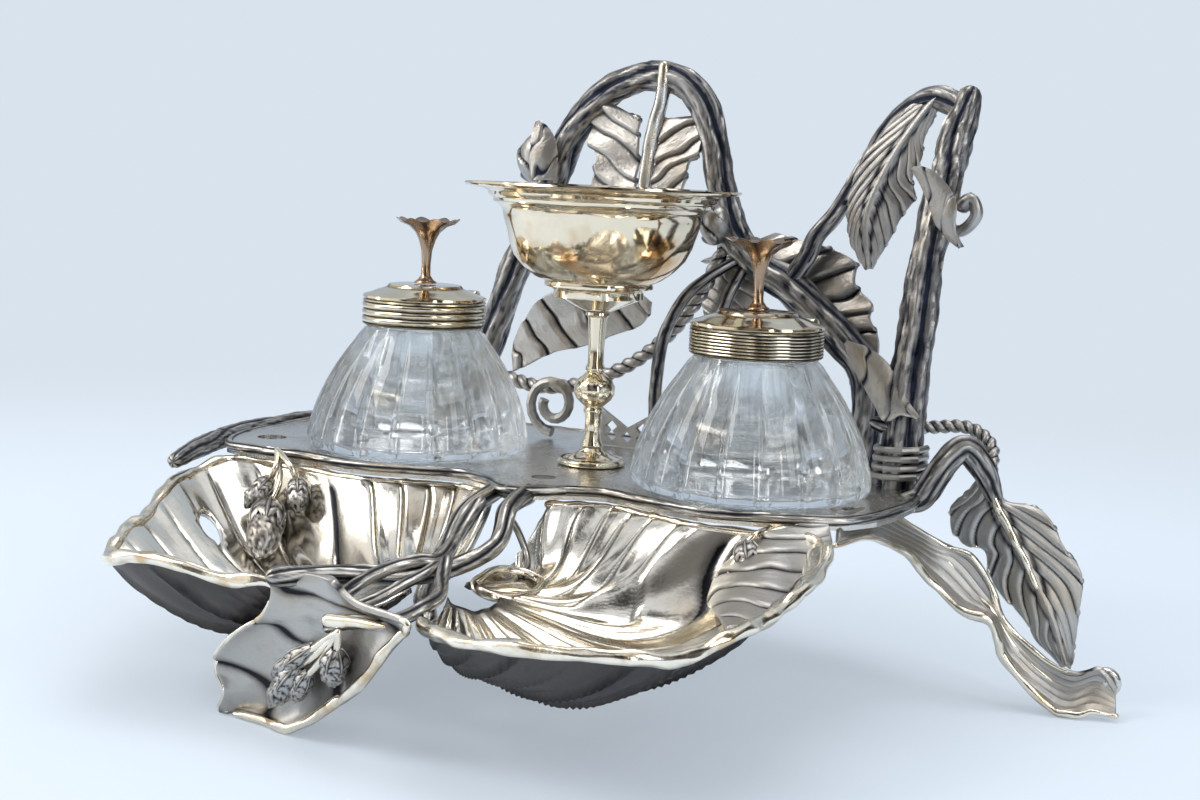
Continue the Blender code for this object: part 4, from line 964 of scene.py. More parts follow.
@dataclass
class Dish:
    """A leaf dish: ribs fan out from its stem end, and its free rim is wavy."""

    name: str
    node: str
    side: float
    rim: Sequence[Row]
    ribs: int
    bend: float
    fork: Row = (0.004, 0.066, 0.0315)
    reach: float = 0.086
    belly: float = 0.0165
    skew: float = 1.25
    start: float = 0.13
    groove: float = 0.0007
    fold: float = 0.0004
    holes: Sequence[Row] = ()

    def point(self, angle: float, reach: float, height: float, share: float) -> Vector:
        """A plain point of the bowl, as the solid has it."""
        turn = math.radians(angle)
        rim_z = self.fork[2] + height * (PLATE_TOP - 0.0041 - self.fork[2])
        x = self.fork[0] + math.cos(turn) * reach * self.reach * share
        y = -self.fork[1] + math.sin(turn) * reach * self.reach * share
        swell = max(math.sin(math.pi * share**self.skew), 0.0)
        z = self.fork[2] + (rim_z - self.fork[2]) * share - self.belly * swell * min(reach, 1.0)
        return Vector((self.side * x, y + WELL_LINE, z))

    def place(self, u: float, v: float) -> tuple[Vector, float]:
        """A point of the dish with its ribs: u goes round the rim and v out to it."""
        angle, reach, height = row_at(self.rim, u)
        share = self.start + (1.0 - self.start) * v
        here = self.point(angle, reach, height, share)
        arc = angle + self.bend * math.sin(math.pi * share) * (1.0 - share)
        phase = (self.rim[0][0] - arc) / (self.rim[0][0] - self.rim[-1][0]) * self.ribs
        bold = 0.55 + 0.45 * math.sin(round(phase) * 2.4)
        groove = valley(phase, 0.050 + 0.045 * bold) * (0.35 + 0.65 * bold)
        patch = max(noise.noise(Vector((phase, v * 3.0, 5.0))) + 0.4, 0.0)
        hair = valley(phase * 3.0 + 0.5, 0.07) * 0.28 * patch
        fade = smooth_step(0.02, 0.22, v) * smooth_step(1.0, 0.93, v)
        swell = max(math.sin(math.pi * share**self.skew), 0.0)
        here.z -= 0.5 * (1.0 - math.cos(math.pi * u * (len(self.rim) - 1))) * 0.0010 * swell
        lap = phase % 1.0
        crown = (1.0 - lap) * smooth_step(0.0, 0.16, lap) * self.fold * 2.0
        free = smooth_step(0.40, 0.55, u)
        tear = noise.noise(Vector((u * 17.0, self.ribs, 2.0))) * 1.6
        ripple = (0.6 * math.sin(phase * math.pi * 0.9) + tear) * smooth_step(0.72, 1.0, v) * free
        here.z += (crown - groove * self.groove - hair * self.groove * 0.4) * fade * 1.3
        here.z += ripple * 0.0013
        away = Vector((here.x, here.y - WELL_LINE + 0.06, 0.0)).normalized()
        here += away * (ripple * 0.0008 * smooth_step(0.85, 1.0, v))
        deep = max(groove, hair) * fade
        deep = max(deep, smooth_step(0.12, 0.0, v) * 0.6)
        return here, deep

    def build(self, finishes: Finishes) -> None:
        """Makes the dish, its rolled rim and its near-black underside, which is partly oxide and partly
        painted shade.

        Args:
            finishes: the stand's materials.
        """
        form = Form()
        form.sheet(360, 46, self.place, self.holes)
        for vert in form.bm.verts:
            vert[form.grain] = vert.co * 0.6
        if self.side < 0.0:
            bmesh.ops.reverse_faces(form.bm, faces=form.bm.faces)
        piece = form.bake(self.name, finishes.dish, Body.STAND, Slot.TRAY, (self.node,), thick=0.0013)
        # The dish's underside takes the near-black silver: partly oxide, partly painted shade.
        piece.data.materials.append(finishes.under)
        wall = piece.modifiers["wall"]
        wall.material_offset = 1
        roll = Form()
        rows = []
        for step in range(121):
            u = step / 120.0
            edge, _ = self.place(u, 0.995)
            free = smooth_step(0.40, 0.52, u)
            swell = 1.0 + 0.45 * noise.noise(Vector((step * 0.35, self.ribs, 7.0)))
            rows.append((*edge, (0.0009 + 0.0006 * free) * swell))
        path = rounded(even_path(rows, 0.0009))
        roll.tube(path, 18, Plain(0.30, self.ribs))
        # The rolled rim takes the pale edge silver: partly wear, partly a painted highlight.
        roll.bake(self.name + "_rim", finishes.edge, Body.STAND, Slot.TRAY)


FRONT_LEFT: Sequence[Row] = (
    (-25.4, -72.4, 35.9), (-25.1, -71.7, 31.2), (-28.0, -70.5, 26.1), (-33.0, -69.3, 23.2),
    (-38.0, -68.0, 19.6), (-42.6, -66.6, 14.5), (-43.6, -65.8, 10.6), (-41.0, -65.4, 5.9),
    (-44.1, -64.0, 0.1), (-41.5, -63.9, -2.9),
)

FRONT_RIGHT: Sequence[Row] = (
    (-6.5, -75.2, 37.6), (0.6, -75.6, 33.9), (13.2, -77.1, 32.8), (13.6, -76.8, 30.7),
    (7.8, -75.0, 24.9), (1.8, -73.1, 18.0), (-5.6, -71.1, 11.8), (-15.8, -68.6, 4.6),
    (-29.4, -65.7, -1.6), (-38.9, -64.2, -3.3),
)

LEG_LEFT: Sequence[Row] = (
    (98.0, 55.5, 54.9), (91.6, 55.5, 48.0), (89.9, 55.5, 44.8), (90.7, 55.5, 40.6),
    (93.6, 55.5, 37.6), (99.3, 55.5, 36.3), (101.2, 55.5, 29.6), (105.7, 55.5, 24.7),
    (110.4, 55.5, 20.4), (113.3, 55.5, 15.9), (120.0, 55.5, 10.5),
)

LEG_MIDDLE: Sequence[Row] = (
    (98.6, 54.0, 55.4), (101.6, 54.0, 50.0), (103.0, 54.0, 47.1), (105.2, 54.0, 43.4),
    (107.4, 54.0, 39.7), (110.1, 54.0, 35.1), (112.5, 54.0, 30.5), (115.2, 54.0, 25.9),
    (117.4, 54.0, 21.7), (119.0, 54.0, 17.1), (121.0, 54.0, 11.3),
)

LEG_RIGHT: Sequence[Row] = (
    (98.2, 56.5, 55.3), (103.6, 56.5, 48.6), (110.9, 56.5, 48.5), (115.5, 56.5, 45.1),
    (118.2, 56.5, 40.0), (122.3, 56.5, 35.3), (123.5, 56.5, 31.0), (122.8, 56.5, 24.0),
    (122.2, 56.5, 17.6), (121.7, 56.5, 12.1), (120.8, 56.5, 9.9),
)

FOOT_UPPER: Sequence[Row] = (
    (77.6, 4.0, 50.4), (80.3, 26.0, 49.1), (84.7, 42.0, 42.4), (91.4, 48.0, 37.3),
    (97.5, 49.0, 35.7), (102.1, 50.0, 29.2), (104.4, 50.0, 23.5), (107.5, 50.5, 19.0),
    (113.4, 51.0, 14.4), (118.2, 51.5, 11.4), (123.5, 52.0, 10.1), (129.2, 53.0, 12.1),
    (133.0, 54.0, 7.2),
)

FOOT_LOWER: Sequence[Row] = (
    (79.8, -3.0, 44.6), (82.0, 12.0, 44.3), (82.7, 26.0, 40.7), (85.4, 36.0, 36.5),
    (88.1, 41.0, 31.3), (96.3, 43.0, 23.7), (103.4, 44.5, 21.6), (105.8, 45.5, 16.8),
    (107.3, 46.5, 12.2), (113.8, 47.5, 5.7), (121.7, 48.5, 0.5), (127.8, 50.0, 1.9),
    (133.6, 52.0, 1.5),
)

WING_LEFT_OUTER: Sequence[Row] = (
    (-27.2, 76.8, 148.7), (-28.7, 76.8, 144.6), (-28.1, 76.8, 139.8), (-28.9, 76.8, 135.7),
    (-26.0, 76.8, 131.4), (-27.1, 76.8, 126.9), (-27.2, 76.8, 121.7), (-25.9, 76.8, 117.3),
)

WING_LEFT_INNER: Sequence[Row] = (
    (-11.8, 75.2, 143.1), (-11.7, 75.2, 140.9), (-11.9, 75.2, 138.2), (-11.4, 75.2, 134.5),
    (-11.5, 75.2, 130.4), (-11.9, 75.2, 126.3), (-12.3, 75.2, 122.3), (-12.9, 75.2, 118.0),
)

WING_RIGHT_INNER: Sequence[Row] = (
    (-4.5, 75.2, 143.3), (-4.6, 75.2, 139.9), (-5.5, 75.2, 136.4), (-6.2, 75.2, 132.7),
    (-6.6, 75.2, 128.9), (-7.4, 75.2, 125.4), (-7.9, 75.2, 122.5), (-8.3, 75.2, 118.1),
)

WING_RIGHT_OUTER: Sequence[Row] = (
    (8.5, 76.8, 144.1), (7.8, 76.8, 140.9), (7.6, 76.8, 137.5), (6.9, 76.8, 133.4),
    (3.9, 76.8, 131.3), (3.1, 76.8, 127.6), (1.8, 76.8, 122.9), (1.0, 76.8, 118.6),
)

WING_STEM: Sequence[Row] = (
    (-4.8, 74.2, 158.2), (-4.6, 74.2, 153.6), (-5.2, 74.2, 147.9), (-6.5, 74.2, 142.1),
    (-7.8, 74.2, 136.9), (-8.5, 74.2, 131.1), (-9.1, 74.2, 125.3), (-9.8, 74.2, 118.0),
)

DROOP_LEFT: Sequence[Row] = (
    (76.3, 73.4, 151.5), (70.7, 73.4, 149.6), (64.3, 73.4, 143.4), (57.6, 73.4, 135.4),
    (54.3, 73.4, 128.0), (52.9, 73.4, 121.1), (53.2, 73.4, 115.7), (54.3, 73.4, 110.8),
    (57.4, 73.4, 105.8), (59.1, 73.4, 104.1),
)

DROOP_MIDDLE: Sequence[Row] = (
    (76.7, 72.4, 150.9), (74.1, 72.4, 148.0), (69.4, 72.4, 141.4), (65.6, 72.4, 135.2),
    (62.0, 72.4, 128.2), (59.7, 72.4, 122.8), (58.5, 72.4, 118.1), (58.5, 72.4, 113.2),
    (59.3, 72.4, 107.9), (59.8, 72.4, 104.1),
)

DROOP_RIGHT: Sequence[Row] = (
    (77.0, 73.4, 150.2), (75.6, 73.4, 145.4), (73.1, 73.4, 140.0), (72.8, 73.4, 134.6),
    (70.5, 73.4, 129.1), (71.6, 73.4, 123.9), (68.2, 73.4, 118.9), (65.2, 73.4, 112.8),
    (62.4, 73.4, 108.1), (59.9, 73.4, 104.4),
)

FAN_INNER: Sequence[Row] = (
    (5.0, 84.0, 102.3), (11.2, 84.0, 102.7), (18.2, 84.0, 100.3), (24.5, 84.0, 97.0),
    (30.2, 84.0, 93.1), (35.7, 84.0, 89.3), (41.0, 84.0, 85.5), (46.1, 84.0, 81.7),
    (50.2, 84.0, 77.3), (52.0, 84.0, 71.1),
)

FAN_OUTER: Sequence[Row] = (
    (27.8, 84.5, 112.0), (38.8, 84.5, 109.7), (46.5, 84.5, 108.2), (52.2, 84.5, 104.7),
    (52.2, 84.5, 99.1), (57.4, 84.5, 94.2), (57.0, 84.5, 90.0), (59.8, 84.5, 84.2),
    (59.1, 84.5, 75.3), (57.2, 84.5, 67.4),
)

FAN_STEM: Sequence[Row] = (
    (17.3, 81.0, 100.3), (26.5, 81.0, 97.8), (34.3, 81.0, 93.6), (41.1, 81.0, 88.5),
    (47.1, 81.0, 84.5), (51.9, 81.0, 81.0),
)

INNER_LEFT: Sequence[Row] = (
    (17.3, 82.5, 104.2), (10.6, 82.5, 102.1), (7.2, 82.5, 95.9), (7.1, 82.5, 90.9),
    (9.0, 82.5, 85.4),
)

INNER_RIGHT: Sequence[Row] = (
    (19.5, 82.0, 103.3), (23.3, 82.0, 100.7), (25.9, 82.0, 96.3), (25.5, 82.0, 91.2),
    (21.5, 82.0, 86.3),
)

SIDE_LOW: Sequence[Row] = (
    (-47.1, 70.0, 67.2), (-41.8, 70.0, 69.7), (-33.4, 70.0, 74.0), (-24.0, 70.0, 76.5),
    (-15.4, 70.0, 80.1), (-6.6, 70.0, 83.7), (-3.7, 70.0, 87.8),
)

SIDE_HIGH: Sequence[Row] = (
    (-48.1, 70.5, 74.8), (-44.8, 70.5, 81.8), (-38.8, 70.5, 89.6), (-30.0, 70.5, 92.9),
    (-20.3, 70.5, 94.7), (-10.6, 70.5, 94.2), (-3.4, 70.5, 90.7),
)

THORN_HIGH_LEFT: Sequence[Row] = (
    (74.7, 58.5, 131.4), (77.3, 58.5, 127.9), (80.0, 58.5, 122.3), (82.3, 58.5, 117.0),
    (85.7, 58.5, 113.6), (88.5, 58.5, 112.0),
)

THORN_HIGH_RIGHT: Sequence[Row] = (
    (75.4, 58.0, 132.2), (80.2, 58.0, 131.4), (85.2, 58.0, 126.9), (87.2, 58.0, 122.6),
    (86.9, 58.0, 117.3), (89.2, 58.0, 112.0),
)

THORN_LOW_LEFT: Sequence[Row] = (
    (57.1, 64.0, 84.2), (60.6, 61.0, 79.4), (65.0, 57.0, 74.6), (69.7, 53.0, 70.2),
    (73.2, 51.0, 66.6), (77.3, 49.5, 69.0), (82.3, 48.5, 68.6),
)

THORN_LOW_RIGHT: Sequence[Row] = (
    (57.6, 64.0, 85.0), (65.7, 60.0, 83.5), (71.4, 56.0, 81.2), (75.0, 53.0, 77.6),
    (77.9, 51.0, 73.8), (80.3, 49.5, 71.3), (82.8, 48.5, 68.9),
)

BUD_LEAF_LEFT: Sequence[Row] = (
    (-43.8, 70.5, 141.2), (-44.8, 70.5, 135.6), (-44.9, 70.5, 129.6), (-43.9, 70.5, 123.8),
)

BUD_LEAF_RIGHT: Sequence[Row] = (
    (-43.0, 71.5, 141.2), (-38.8, 71.5, 138.1), (-36.6, 71.5, 132.9), (-36.7, 71.5, 124.1),
)

FOLD_INNER: Sequence[Row] = (
    (76.3, 1.0, 49.2), (71.0, -3.0, 47.8), (65.5, -8.8, 45.7), (61.9, -10.5, 43.0),
    (58.7, -12.6, 39.5), (56.0, -15.0, 35.0), (56.1, -18.4, 30.2),
)

FOLD_OUTER: Sequence[Row] = (
    (78.9, -3.0, 44.3), (77.5, -12.0, 40.5), (77.4, -22.0, 38.0), (77.5, -31.0, 36.3),
    (76.9, -38.0, 35.0), (76.4, -45.0, 33.8), (73.6, -50.0, 33.6),
)

RING_HOOP: Sequence[Row] = (
    (6.6, -39.0, 31.9), (6.9, -33.0, 33.6), (8.8, -27.0, 33.3), (12.5, -24.0, 32.3),
    (16.4, -25.5, 30.8), (16.6, -31.0, 29.6), (14.2, -37.0, 29.5), (10.7, -40.5, 30.3),
    (6.6, -39.0, 31.9),
)

RING_STALK: Sequence[Row] = (
    (4.0, -22.0, 45.7), (5.8, -19.0, 41.0), (7.6, -18.0, 36.3), (10.0, -21.0, 33.4),
    (10.4, -25.0, 32.2),
)

STRAND_HIGH: Sequence[Row] = (
    (-13.4, -70.0, 30.0), (-10.3, -66.0, 32.6), (-7.3, -61.0, 35.5), (-3.4, -56.0, 37.6),
    (-0.9, -51.0, 38.2), (1.2, -46.0, 38.3), (-1.1, -33.0, 42.3), (-1.8, -24.0, 47.2),
)

STRAND_MIDDLE: Sequence[Row] = (
    (-4.9, -71.0, 31.0), (-2.6, -64.0, 32.3), (-0.3, -58.0, 34.4), (1.8, -53.0, 36.2),
    (1.9, -47.0, 37.7),
)

STRAND_LOW: Sequence[Row] = (
    (-8.7, -73.5, 27.1), (-1.7, -74.5, 29.2), (4.8, -74.0, 29.6), (9.2, -72.0, 31.3),
    (11.5, -68.0, 33.1), (9.8, -60.0, 33.6), (5.7, -52.0, 35.5), (3.5, -47.0, 37.9),
)

NECK_BLADE: Sequence[Row] = (
    (-7.4, -75.9, 29.0), (-1.3, -76.8, 29.7), (3.7, -77.6, 30.2), (8.1, -78.2, 30.5),
)

NUTS_FRONT: Sequence[Row] = (
    (-12.7, -74.8, 21.8), (-24.9, -71.7, 13.0), (-16.8, -73.4, 16.9), (-25.7, -70.5, 6.2),
    (-13.7, -73.7, 16.2), (-18.7, -71.8, 8.6), (-5.2, -76.0, 22.8), (-6.8, -74.4, 14.7),
)

NUT_STEMS_FRONT: Sequence[Row] = (
    (-4.2, -76.8, 27.1), (-9.1, -75.6, 24.0), (-12.7, -74.7, 21.5), (-4.2, -76.8, 27.1),
    (-10.3, -75.1, 21.5), (-16.5, -73.4, 16.7), (-4.2, -76.8, 27.1), (-8.4, -75.3, 21.2),
    (-13.4, -73.7, 16.0), (-4.2, -76.8, 27.1), (-4.5, -76.4, 24.8), (-5.2, -75.9, 22.5),
)

NUTS_LEFT: Sequence[Row] = (
    (-72.4, -12.0, 42.8), (-74.6, -19.0, 36.5), (-64.3, -11.2, 43.6), (-60.4, -15.5, 36.2),
    (-69.8, -15.0, 37.3), (-62.1, -28.4, 27.0),
)

NUT_STEMS_LEFT: Sequence[Row] = (
    (-73.5, -8.0, 50.1), (-70.6, -12.0, 46.7), (-72.4, -12.0, 42.8), (-73.5, -8.0, 50.1),
    (-66.2, -12.0, 47.4), (-64.3, -11.2, 43.6), (-73.5, -8.0, 50.1), (-69.4, -11.7, 43.1),
    (-69.6, -15.1, 37.1),
)

NUTS_RIGHT: Sequence[Row] = (
    (61.9, -13.1, 44.3), (65.5, -17.2, 36.1), (59.6, -18.8, 34.4), (63.4, -24.9, 31.3),
)

NUT_STEMS_RIGHT: Sequence[Row] = (
    (64.9, -3.0, 46.6), (64.0, -11.8, 46.5), (62.0, -13.3, 44.0), (64.9, -3.0, 46.6),
    (61.2, -14.6, 41.8), (59.6, -18.8, 34.4),
)

LEFT_RIM: Sequence[Row] = (
    (84.0, 0.431, 1.0), (76.0, 0.501, 1.0), (68.0, 0.551, 1.0), (60.0, 0.568, 1.0),
    (52.0, 0.588, 1.0), (45.0, 0.620, 1.0), (38.0, 0.686, 1.0), (31.0, 0.890, 1.0),
    (25.0, 1.068, 1.0), (17.0, 1.080, 0.92), (7.0, 0.980, 0.72), (-4.0, 0.910, 0.44),
    (-13.0, 0.880, 0.26), (-23.0, 0.850, 0.18), (-38.0, 0.540, 0.14), (-54.0, 0.360, 0.08),
    (-70.0, 0.260, 0.00),
)
RIGHT_RIM: Sequence[Row] = (
    (84.0, 0.431, 1.0), (76.0, 0.501, 1.0), (68.0, 0.551, 1.0), (60.0, 0.568, 1.0),
    (52.0, 0.588, 1.0), (45.0, 0.619, 1.0), (39.0, 0.670, 1.0), (34.0, 0.792, 1.0),
    (28.0, 0.950, 0.98), (18.0, 0.970, 0.86), (7.0, 0.930, 0.60), (-4.0, 0.900, 0.40),
    (-16.0, 0.880, 0.22), (-28.0, 0.860, 0.16), (-42.0, 0.730, 0.14), (-58.0, 0.520, 0.06),
    (-70.0, 0.360, 0.00),
)


@dataclass
class Stems:
    """Stems, branches and other round bars, each from its rows to a piece."""

    spacing: float = 0.0008
    sides: int = 40

    def bar(
        self,
        name: str,
        rows: Sequence[Row],
        finish: bpy.types.Material,
        slot: Slot,
        section: Section,
        stands_for: Sequence[str] = (),
    ) -> bpy.types.Object:
        """Makes one bar with round ends.

        Args:
            name: the piece's name.
            rows: x, y, z and radius along it.
            finish: its material.
            slot: the record's material slot.
            section: its cross-section.
            stands_for: CAD nodes that it stands for.

        Returns:
            The piece.
        """
        form = Form()
        form.tube(rounded(even_path(rows, self.spacing)), self.sides, section)
        return form.bake(name, finish, Body.STAND, slot, stands_for)


@dataclass
class Tray:
    """The cast leaf tray: platform edge, dishes, crossing stems, branches, leaf feet and nuts."""

    stem_r: float = 0.0023
    branch_r: float = 0.0034
    leaf_thick: float = 0.0015
    foot_half: float = 0.0080

    outline: Sequence[Row] = (
        (0.00, -0.62), (0.13, -0.47), (0.24, -0.40), (0.38, -0.46), (0.56, -0.53), (0.78, -0.45),
        (0.94, -0.30), (1.00, 0.02), (0.98, 0.50), (0.90, 0.84), (0.66, 1.02), (0.30, 1.06),
        (-0.10, 1.06), (-0.50, 1.07), (-0.86, 1.02), (-1.10, 0.74), (-1.18, 0.30), (-1.17, -0.15),
        (-1.08, -0.44), (-0.94, -0.48), (-0.78, -0.47), (-0.56, -0.53), (-0.38, -0.46),
        (-0.24, -0.40), (-0.13, -0.47),
    )
    over: Sequence[Row] = (
        (-0.26, -1.66, 0.72, 1.0), (-0.14, -1.45, 0.715, 1.0), (0.01, -1.22, 0.71, 1.0),
        (0.09, -0.94, 0.79, 1.0), (0.06, -0.76, 0.93, 1.05), (0.04, -0.54, 0.965, 1.1),
    )
    under: Sequence[Row] = (
        (0.15, -1.56, 0.61, 1.0), (0.07, -1.38, 0.60, 1.0), (-0.02, -1.18, 0.595, 1.0),
        (-0.07, -0.95, 0.70, 1.0), (-0.07, -0.78, 0.88, 1.0), (-0.06, -0.56, 0.96, 1.1),
    )
    right_branch: Sequence[Row] = (
        (0.93, 0.36, 0.95, 0.7), (0.985, 0.40, 0.98, 0.95), (1.015, 0.42, 1.06, 1.0),
        (1.050, 0.46, 1.17, 1.0), (1.095, 0.50, 1.24, 1.1), (1.145, 0.53, 1.15, 1.0),
        (1.175, 0.56, 1.02, 0.7),
    )
    left_branch: Sequence[Row] = (
        (-0.98, 1.10, 0.97, 0.9), (-1.17, 0.78, 0.97, 1.0), (-1.225, 0.30, 0.97, 1.0),
        (-1.215, -0.16, 0.97, 0.9), (-1.145, -0.52, 0.965, 0.8), (-1.070, -0.82, 0.95, 0.6),
    )
    left_foot: Sequence[Row] = (
        (-0.720, 0.50, 0.83, 0.45), (-0.800, 0.53, 0.68, 1.50), (-0.870, 0.56, 0.42, 1.60),
        (-0.935, 0.58, 0.16, 1.10), (-0.980, 0.60, 0.07, 0.50),
    )

    def rows(self, shares: Sequence[Row], radius: float, reach: float = PLATE_REACH) -> list[Row]:
        """Shares as rows with real radii."""
        return [tray_row(x, y, z, size * radius, reach) for x, y, z, size in shares]

    def edge_roll(self, finishes: Finishes, stems: Stems) -> None:
        """Rolls the platform's edge."""
        rows = []
        for x, y in (*self.outline, self.outline[0], self.outline[1]):
            rows.append(tray_row(x * 0.992, y * 0.992, (PLATE_TOP - 0.0008) / PLATE_TOP, 0.0013))
        stems.bar("platform_roll", rows, finishes.tray, Slot.TRAY, Bark(4, 0.10, 0.2, 12.0, 0.12, 3.0))

    def stems(self, finishes: Finishes, stems: Stems) -> None:
        """Makes the crossing stems and the branches."""
        tray = finishes.tray
        wood = Bark(4, 0.20, 0.18, 14.0, 0.06, 1.0)
        stems.bar("stem_upper", self.rows(self.over, self.stem_r), tray, Slot.TRAY, wood, ("tray_stem_over",))
        stems.bar("stem_lower", self.rows(self.under, self.stem_r), tray, Slot.TRAY, wood,
                  ("tray_stem_under",))
        bark = Bark(6, 0.14, 0.16, 18.0, 0.10, 5.0)
        rows = self.rows(self.right_branch, self.branch_r)
        stems.bar("branch_right", rows, finishes.cast, Slot.TRAY, bark, ("right_branch",))
        rows = self.rows(self.left_branch, self.branch_r)
        stems.bar("branch_left", rows, finishes.cast, Slot.TRAY, bark, ("left_branch",))

    def blade(self, name: str, blade: Blade, finishes: Finishes, node: str, lips: Sequence[Row] = ()) -> None:
        """Makes one cast blade and the pale beads along its edges, partly rubbed by wear and partly a painted
        highlight.

        Args:
            name: the piece's name.
            blade: its shape.
            finishes: the stand's materials.
            node: the CAD node that it stands for, or nothing.
            lips: for each bead its place across, its start, its end and its half thickness.
        """
        form = Form()
        blade.build(form)
        stands_for = (node,) if node else ()
        form.bake(name, finishes.cast, Body.STAND, Slot.TRAY, stands_for, self.leaf_thick, 1)
        stems = Stems(0.0006, 16)
        for index, (u, start, end, radius) in enumerate(lips):
            rows = blade.edge(u, start, end, radius)
            # Each bead takes the pale edge silver: partly wear, partly a painted highlight.
            stems.bar(f"{name}_lip_{index + 1}", rows, finishes.edge, Slot.TRAY, Plain(0.25, index))

    def leaves(self, finishes: Finishes) -> None:
        """Makes the leaf feet, the long leg leaf and the folded margin of the right dish."""
        face = Vector((-0.13, -1.0, -0.16)).normalized()
        front = Blade(FRONT_LEFT, FRONT_RIGHT, (), face, folds=3.4, slant=-0.35, fold=0.0007, crease=0.0003,
                      belly=-0.0022, lip=0.0012, teeth=0.03, seed=2.0)
        self.blade("front_leaf_foot", front, finishes, "front_foot_leaf",
                   ((0.995, 0.22, 1.0, 0.0012), (0.005, 0.14, 1.0, 0.0006)))
        leg = Blade(LEG_LEFT, LEG_RIGHT, LEG_MIDDLE, folds=8.0, slant=-0.35, fold=0.0012, crease=0.0007,
                    rib=0.0014, rib_wide=0.07, teeth=0.05, seed=4.0)
        self.blade("long_leaf", leg, finishes, "right_leg_leaf",
                   ((0.5, 0.0, 0.62, 0.0011), (0.003, 0.2, 1.0, 0.0005)))
        outward = Vector((0.25, -0.95, 0.15)).normalized()
        foot = Blade(FOOT_UPPER, FOOT_LOWER, (), outward, folds=3.6, slant=1.6, fold=0.0005, crease=0.0004,
                     belly=-0.0024, lip=0.0008, teeth=0.06, seed=6.0)
        self.blade("right_leaf_foot", foot, finishes, "right_foot_leaf",
                   ((0.995, 0.0, 1.0, 0.0011), (0.005, 0.12, 0.8, 0.0008), (0.45, 0.25, 0.85, 0.0009)))
        margin = Blade(FOLD_INNER, FOLD_OUTER, (), Vector((-0.3, -0.55, 0.78)), folds=5.0, slant=0.6,
                       fold=0.0006, crease=0.0004, belly=0.0012, lip=0.0003, teeth=0.03, seed=8.0)
        self.blade("dish_margin", margin, finishes, "", ((0.005, 0.05, 0.95, 0.0009),))
        neck = [(*millimetres(row), size) for row, size in zip(NECK_BLADE, (0.0016, 0.0014, 0.0012, 0.0004))]
        Stems(0.0006, 20).bar("front_leaf_prong", neck, finishes.edge, Slot.TRAY, Plain(0.2, 5.0))
        rows = self.rows(self.left_foot, 1.0, LEG_REACH)
        form = Form()
        Leaf(rows, self.foot_half, Vector((0.0, -1.0, 0.2)).normalized(), 0.35, veins=5.0, slant=0.3,
             relief=0.0005, midrib=0.0010, rib_share=0.12, wave=0.0010, waves=3.0,
             teeth=0.05).build(form, 32, 72)
        form.bake("left_leaf_foot", finishes.cast, Body.STAND, Slot.TRAY, ("left_foot_leaf",),
                  self.leaf_thick, 1)

    def nuts(self, finishes: Finishes) -> None:
        """Makes the clusters of hazelnuts in their husks, each on its stem."""
        groups = {
            "hazelnuts_left": (NUTS_LEFT, NUT_STEMS_LEFT, (0.0026, 0.0027, 0.0044), Vector((0.5, -0.7, 0.5))),
            "hazelnuts_right": (NUTS_RIGHT, NUT_STEMS_RIGHT, (0.0030, 0.0022), Vector((0.1, -0.8, 0.6))),
            "hazelnuts_front": (NUTS_FRONT, NUT_STEMS_FRONT, (0.0021, 0.0026, 0.0020, 0.0028),
                                Vector((0.1, -1.0, 0.0))),
        }
        for node, (places, stalks, halves, out) in groups.items():
            form = Form()
            for index, half in enumerate(halves):
                start, tip = (millimetres(row) for row in places[2 * index:2 * index + 2])
                Nut(start, tip, half, out.normalized()).build(form)
            form.bake(node + "_husks", finishes.cast, Body.STAND, Slot.TRAY, (node,), 0.0)
            for index in range(len(stalks) // 3):
                rows = [(*millimetres(row), 0.0008) for row in stalks[3 * index:3 * index + 3]]
                stalk = Stems(0.0006, 16)
                stalk.bar(f"{node}_stalk_{index + 1}", rows, finishes.edge, Slot.TRAY, Plain(0.15, index))

    def strands(self, finishes: Finishes) -> None:
        """Makes the strands between the front leaf and the fork, and the tendril ring in the right dish."""
        stems = Stems(0.0007, 28)
        wood = Bark(3, 0.22, 0.16, 10.0, 0.08, 4.0)
        for name, table, radius in (
            ("strand_high", STRAND_HIGH, 0.0017), ("strand_middle", STRAND_MIDDLE, 0.0013),
            ("strand_low", STRAND_LOW, 0.0017), ("ring_stalk", RING_STALK, 0.0009),
        ):
            rows = [(*millimetres(row), radius) for row in table]
            stems.bar(name, rows, finishes.tray, Slot.TRAY, wood)
        rows = [(*millimetres(row), 0.0011) for row in (*RING_HOOP, *RING_HOOP[1:2])]
        stems.bar("ring_hoop", rows, finishes.edge, Slot.TRAY, Plain(0.25, 1.0))

    def curls(self, finishes: Finishes, stems: Stems) -> None:
        """Makes the curled end of the right foot."""
        low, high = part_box("right_foot_knob")
        centre = (low + high) / 2.0
        rows = []
        for step in range(15):
            turn = math.tau * 1.25 * step / 14.0 - 1.2
            reach = 0.0026 * (1.0 - 0.055 * step)
            rows.append((centre.x + math.cos(turn) * reach, centre.y - 0.00025 * step + 0.001,
                         centre.z + math.sin(turn) * reach, 0.0016 - 0.00004 * step))
        stems.bar("right_foot_curl", rows, finishes.tray, Slot.TRAY, Plain(0.1), ("right_foot_knob",))

    def build(self, finishes: Finishes) -> None:
        """Builds the whole tray.

        Args:
            finishes: the stand's materials.
        """
        stems = Stems()
        Dish("left_dish_leaf", "dish_left", -1.0, LEFT_RIM, 19, 10.0,
             holes=((0.60, 0.82, 0.020, 0.055), (0.50, 0.84, 0.018, 0.04))).build(finishes)
        Dish("right_dish_leaf", "dish_right", 1.0, RIGHT_RIM, 19, 26.0).build(finishes)
        self.edge_roll(finishes, stems)
        self.stems(finishes, stems)
        self.leaves(finishes)
        self.nuts(finishes)
        self.curls(finishes, stems)
        self.strands(finishes)
        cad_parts["platform"].material_slots[0].material = finishes.tray


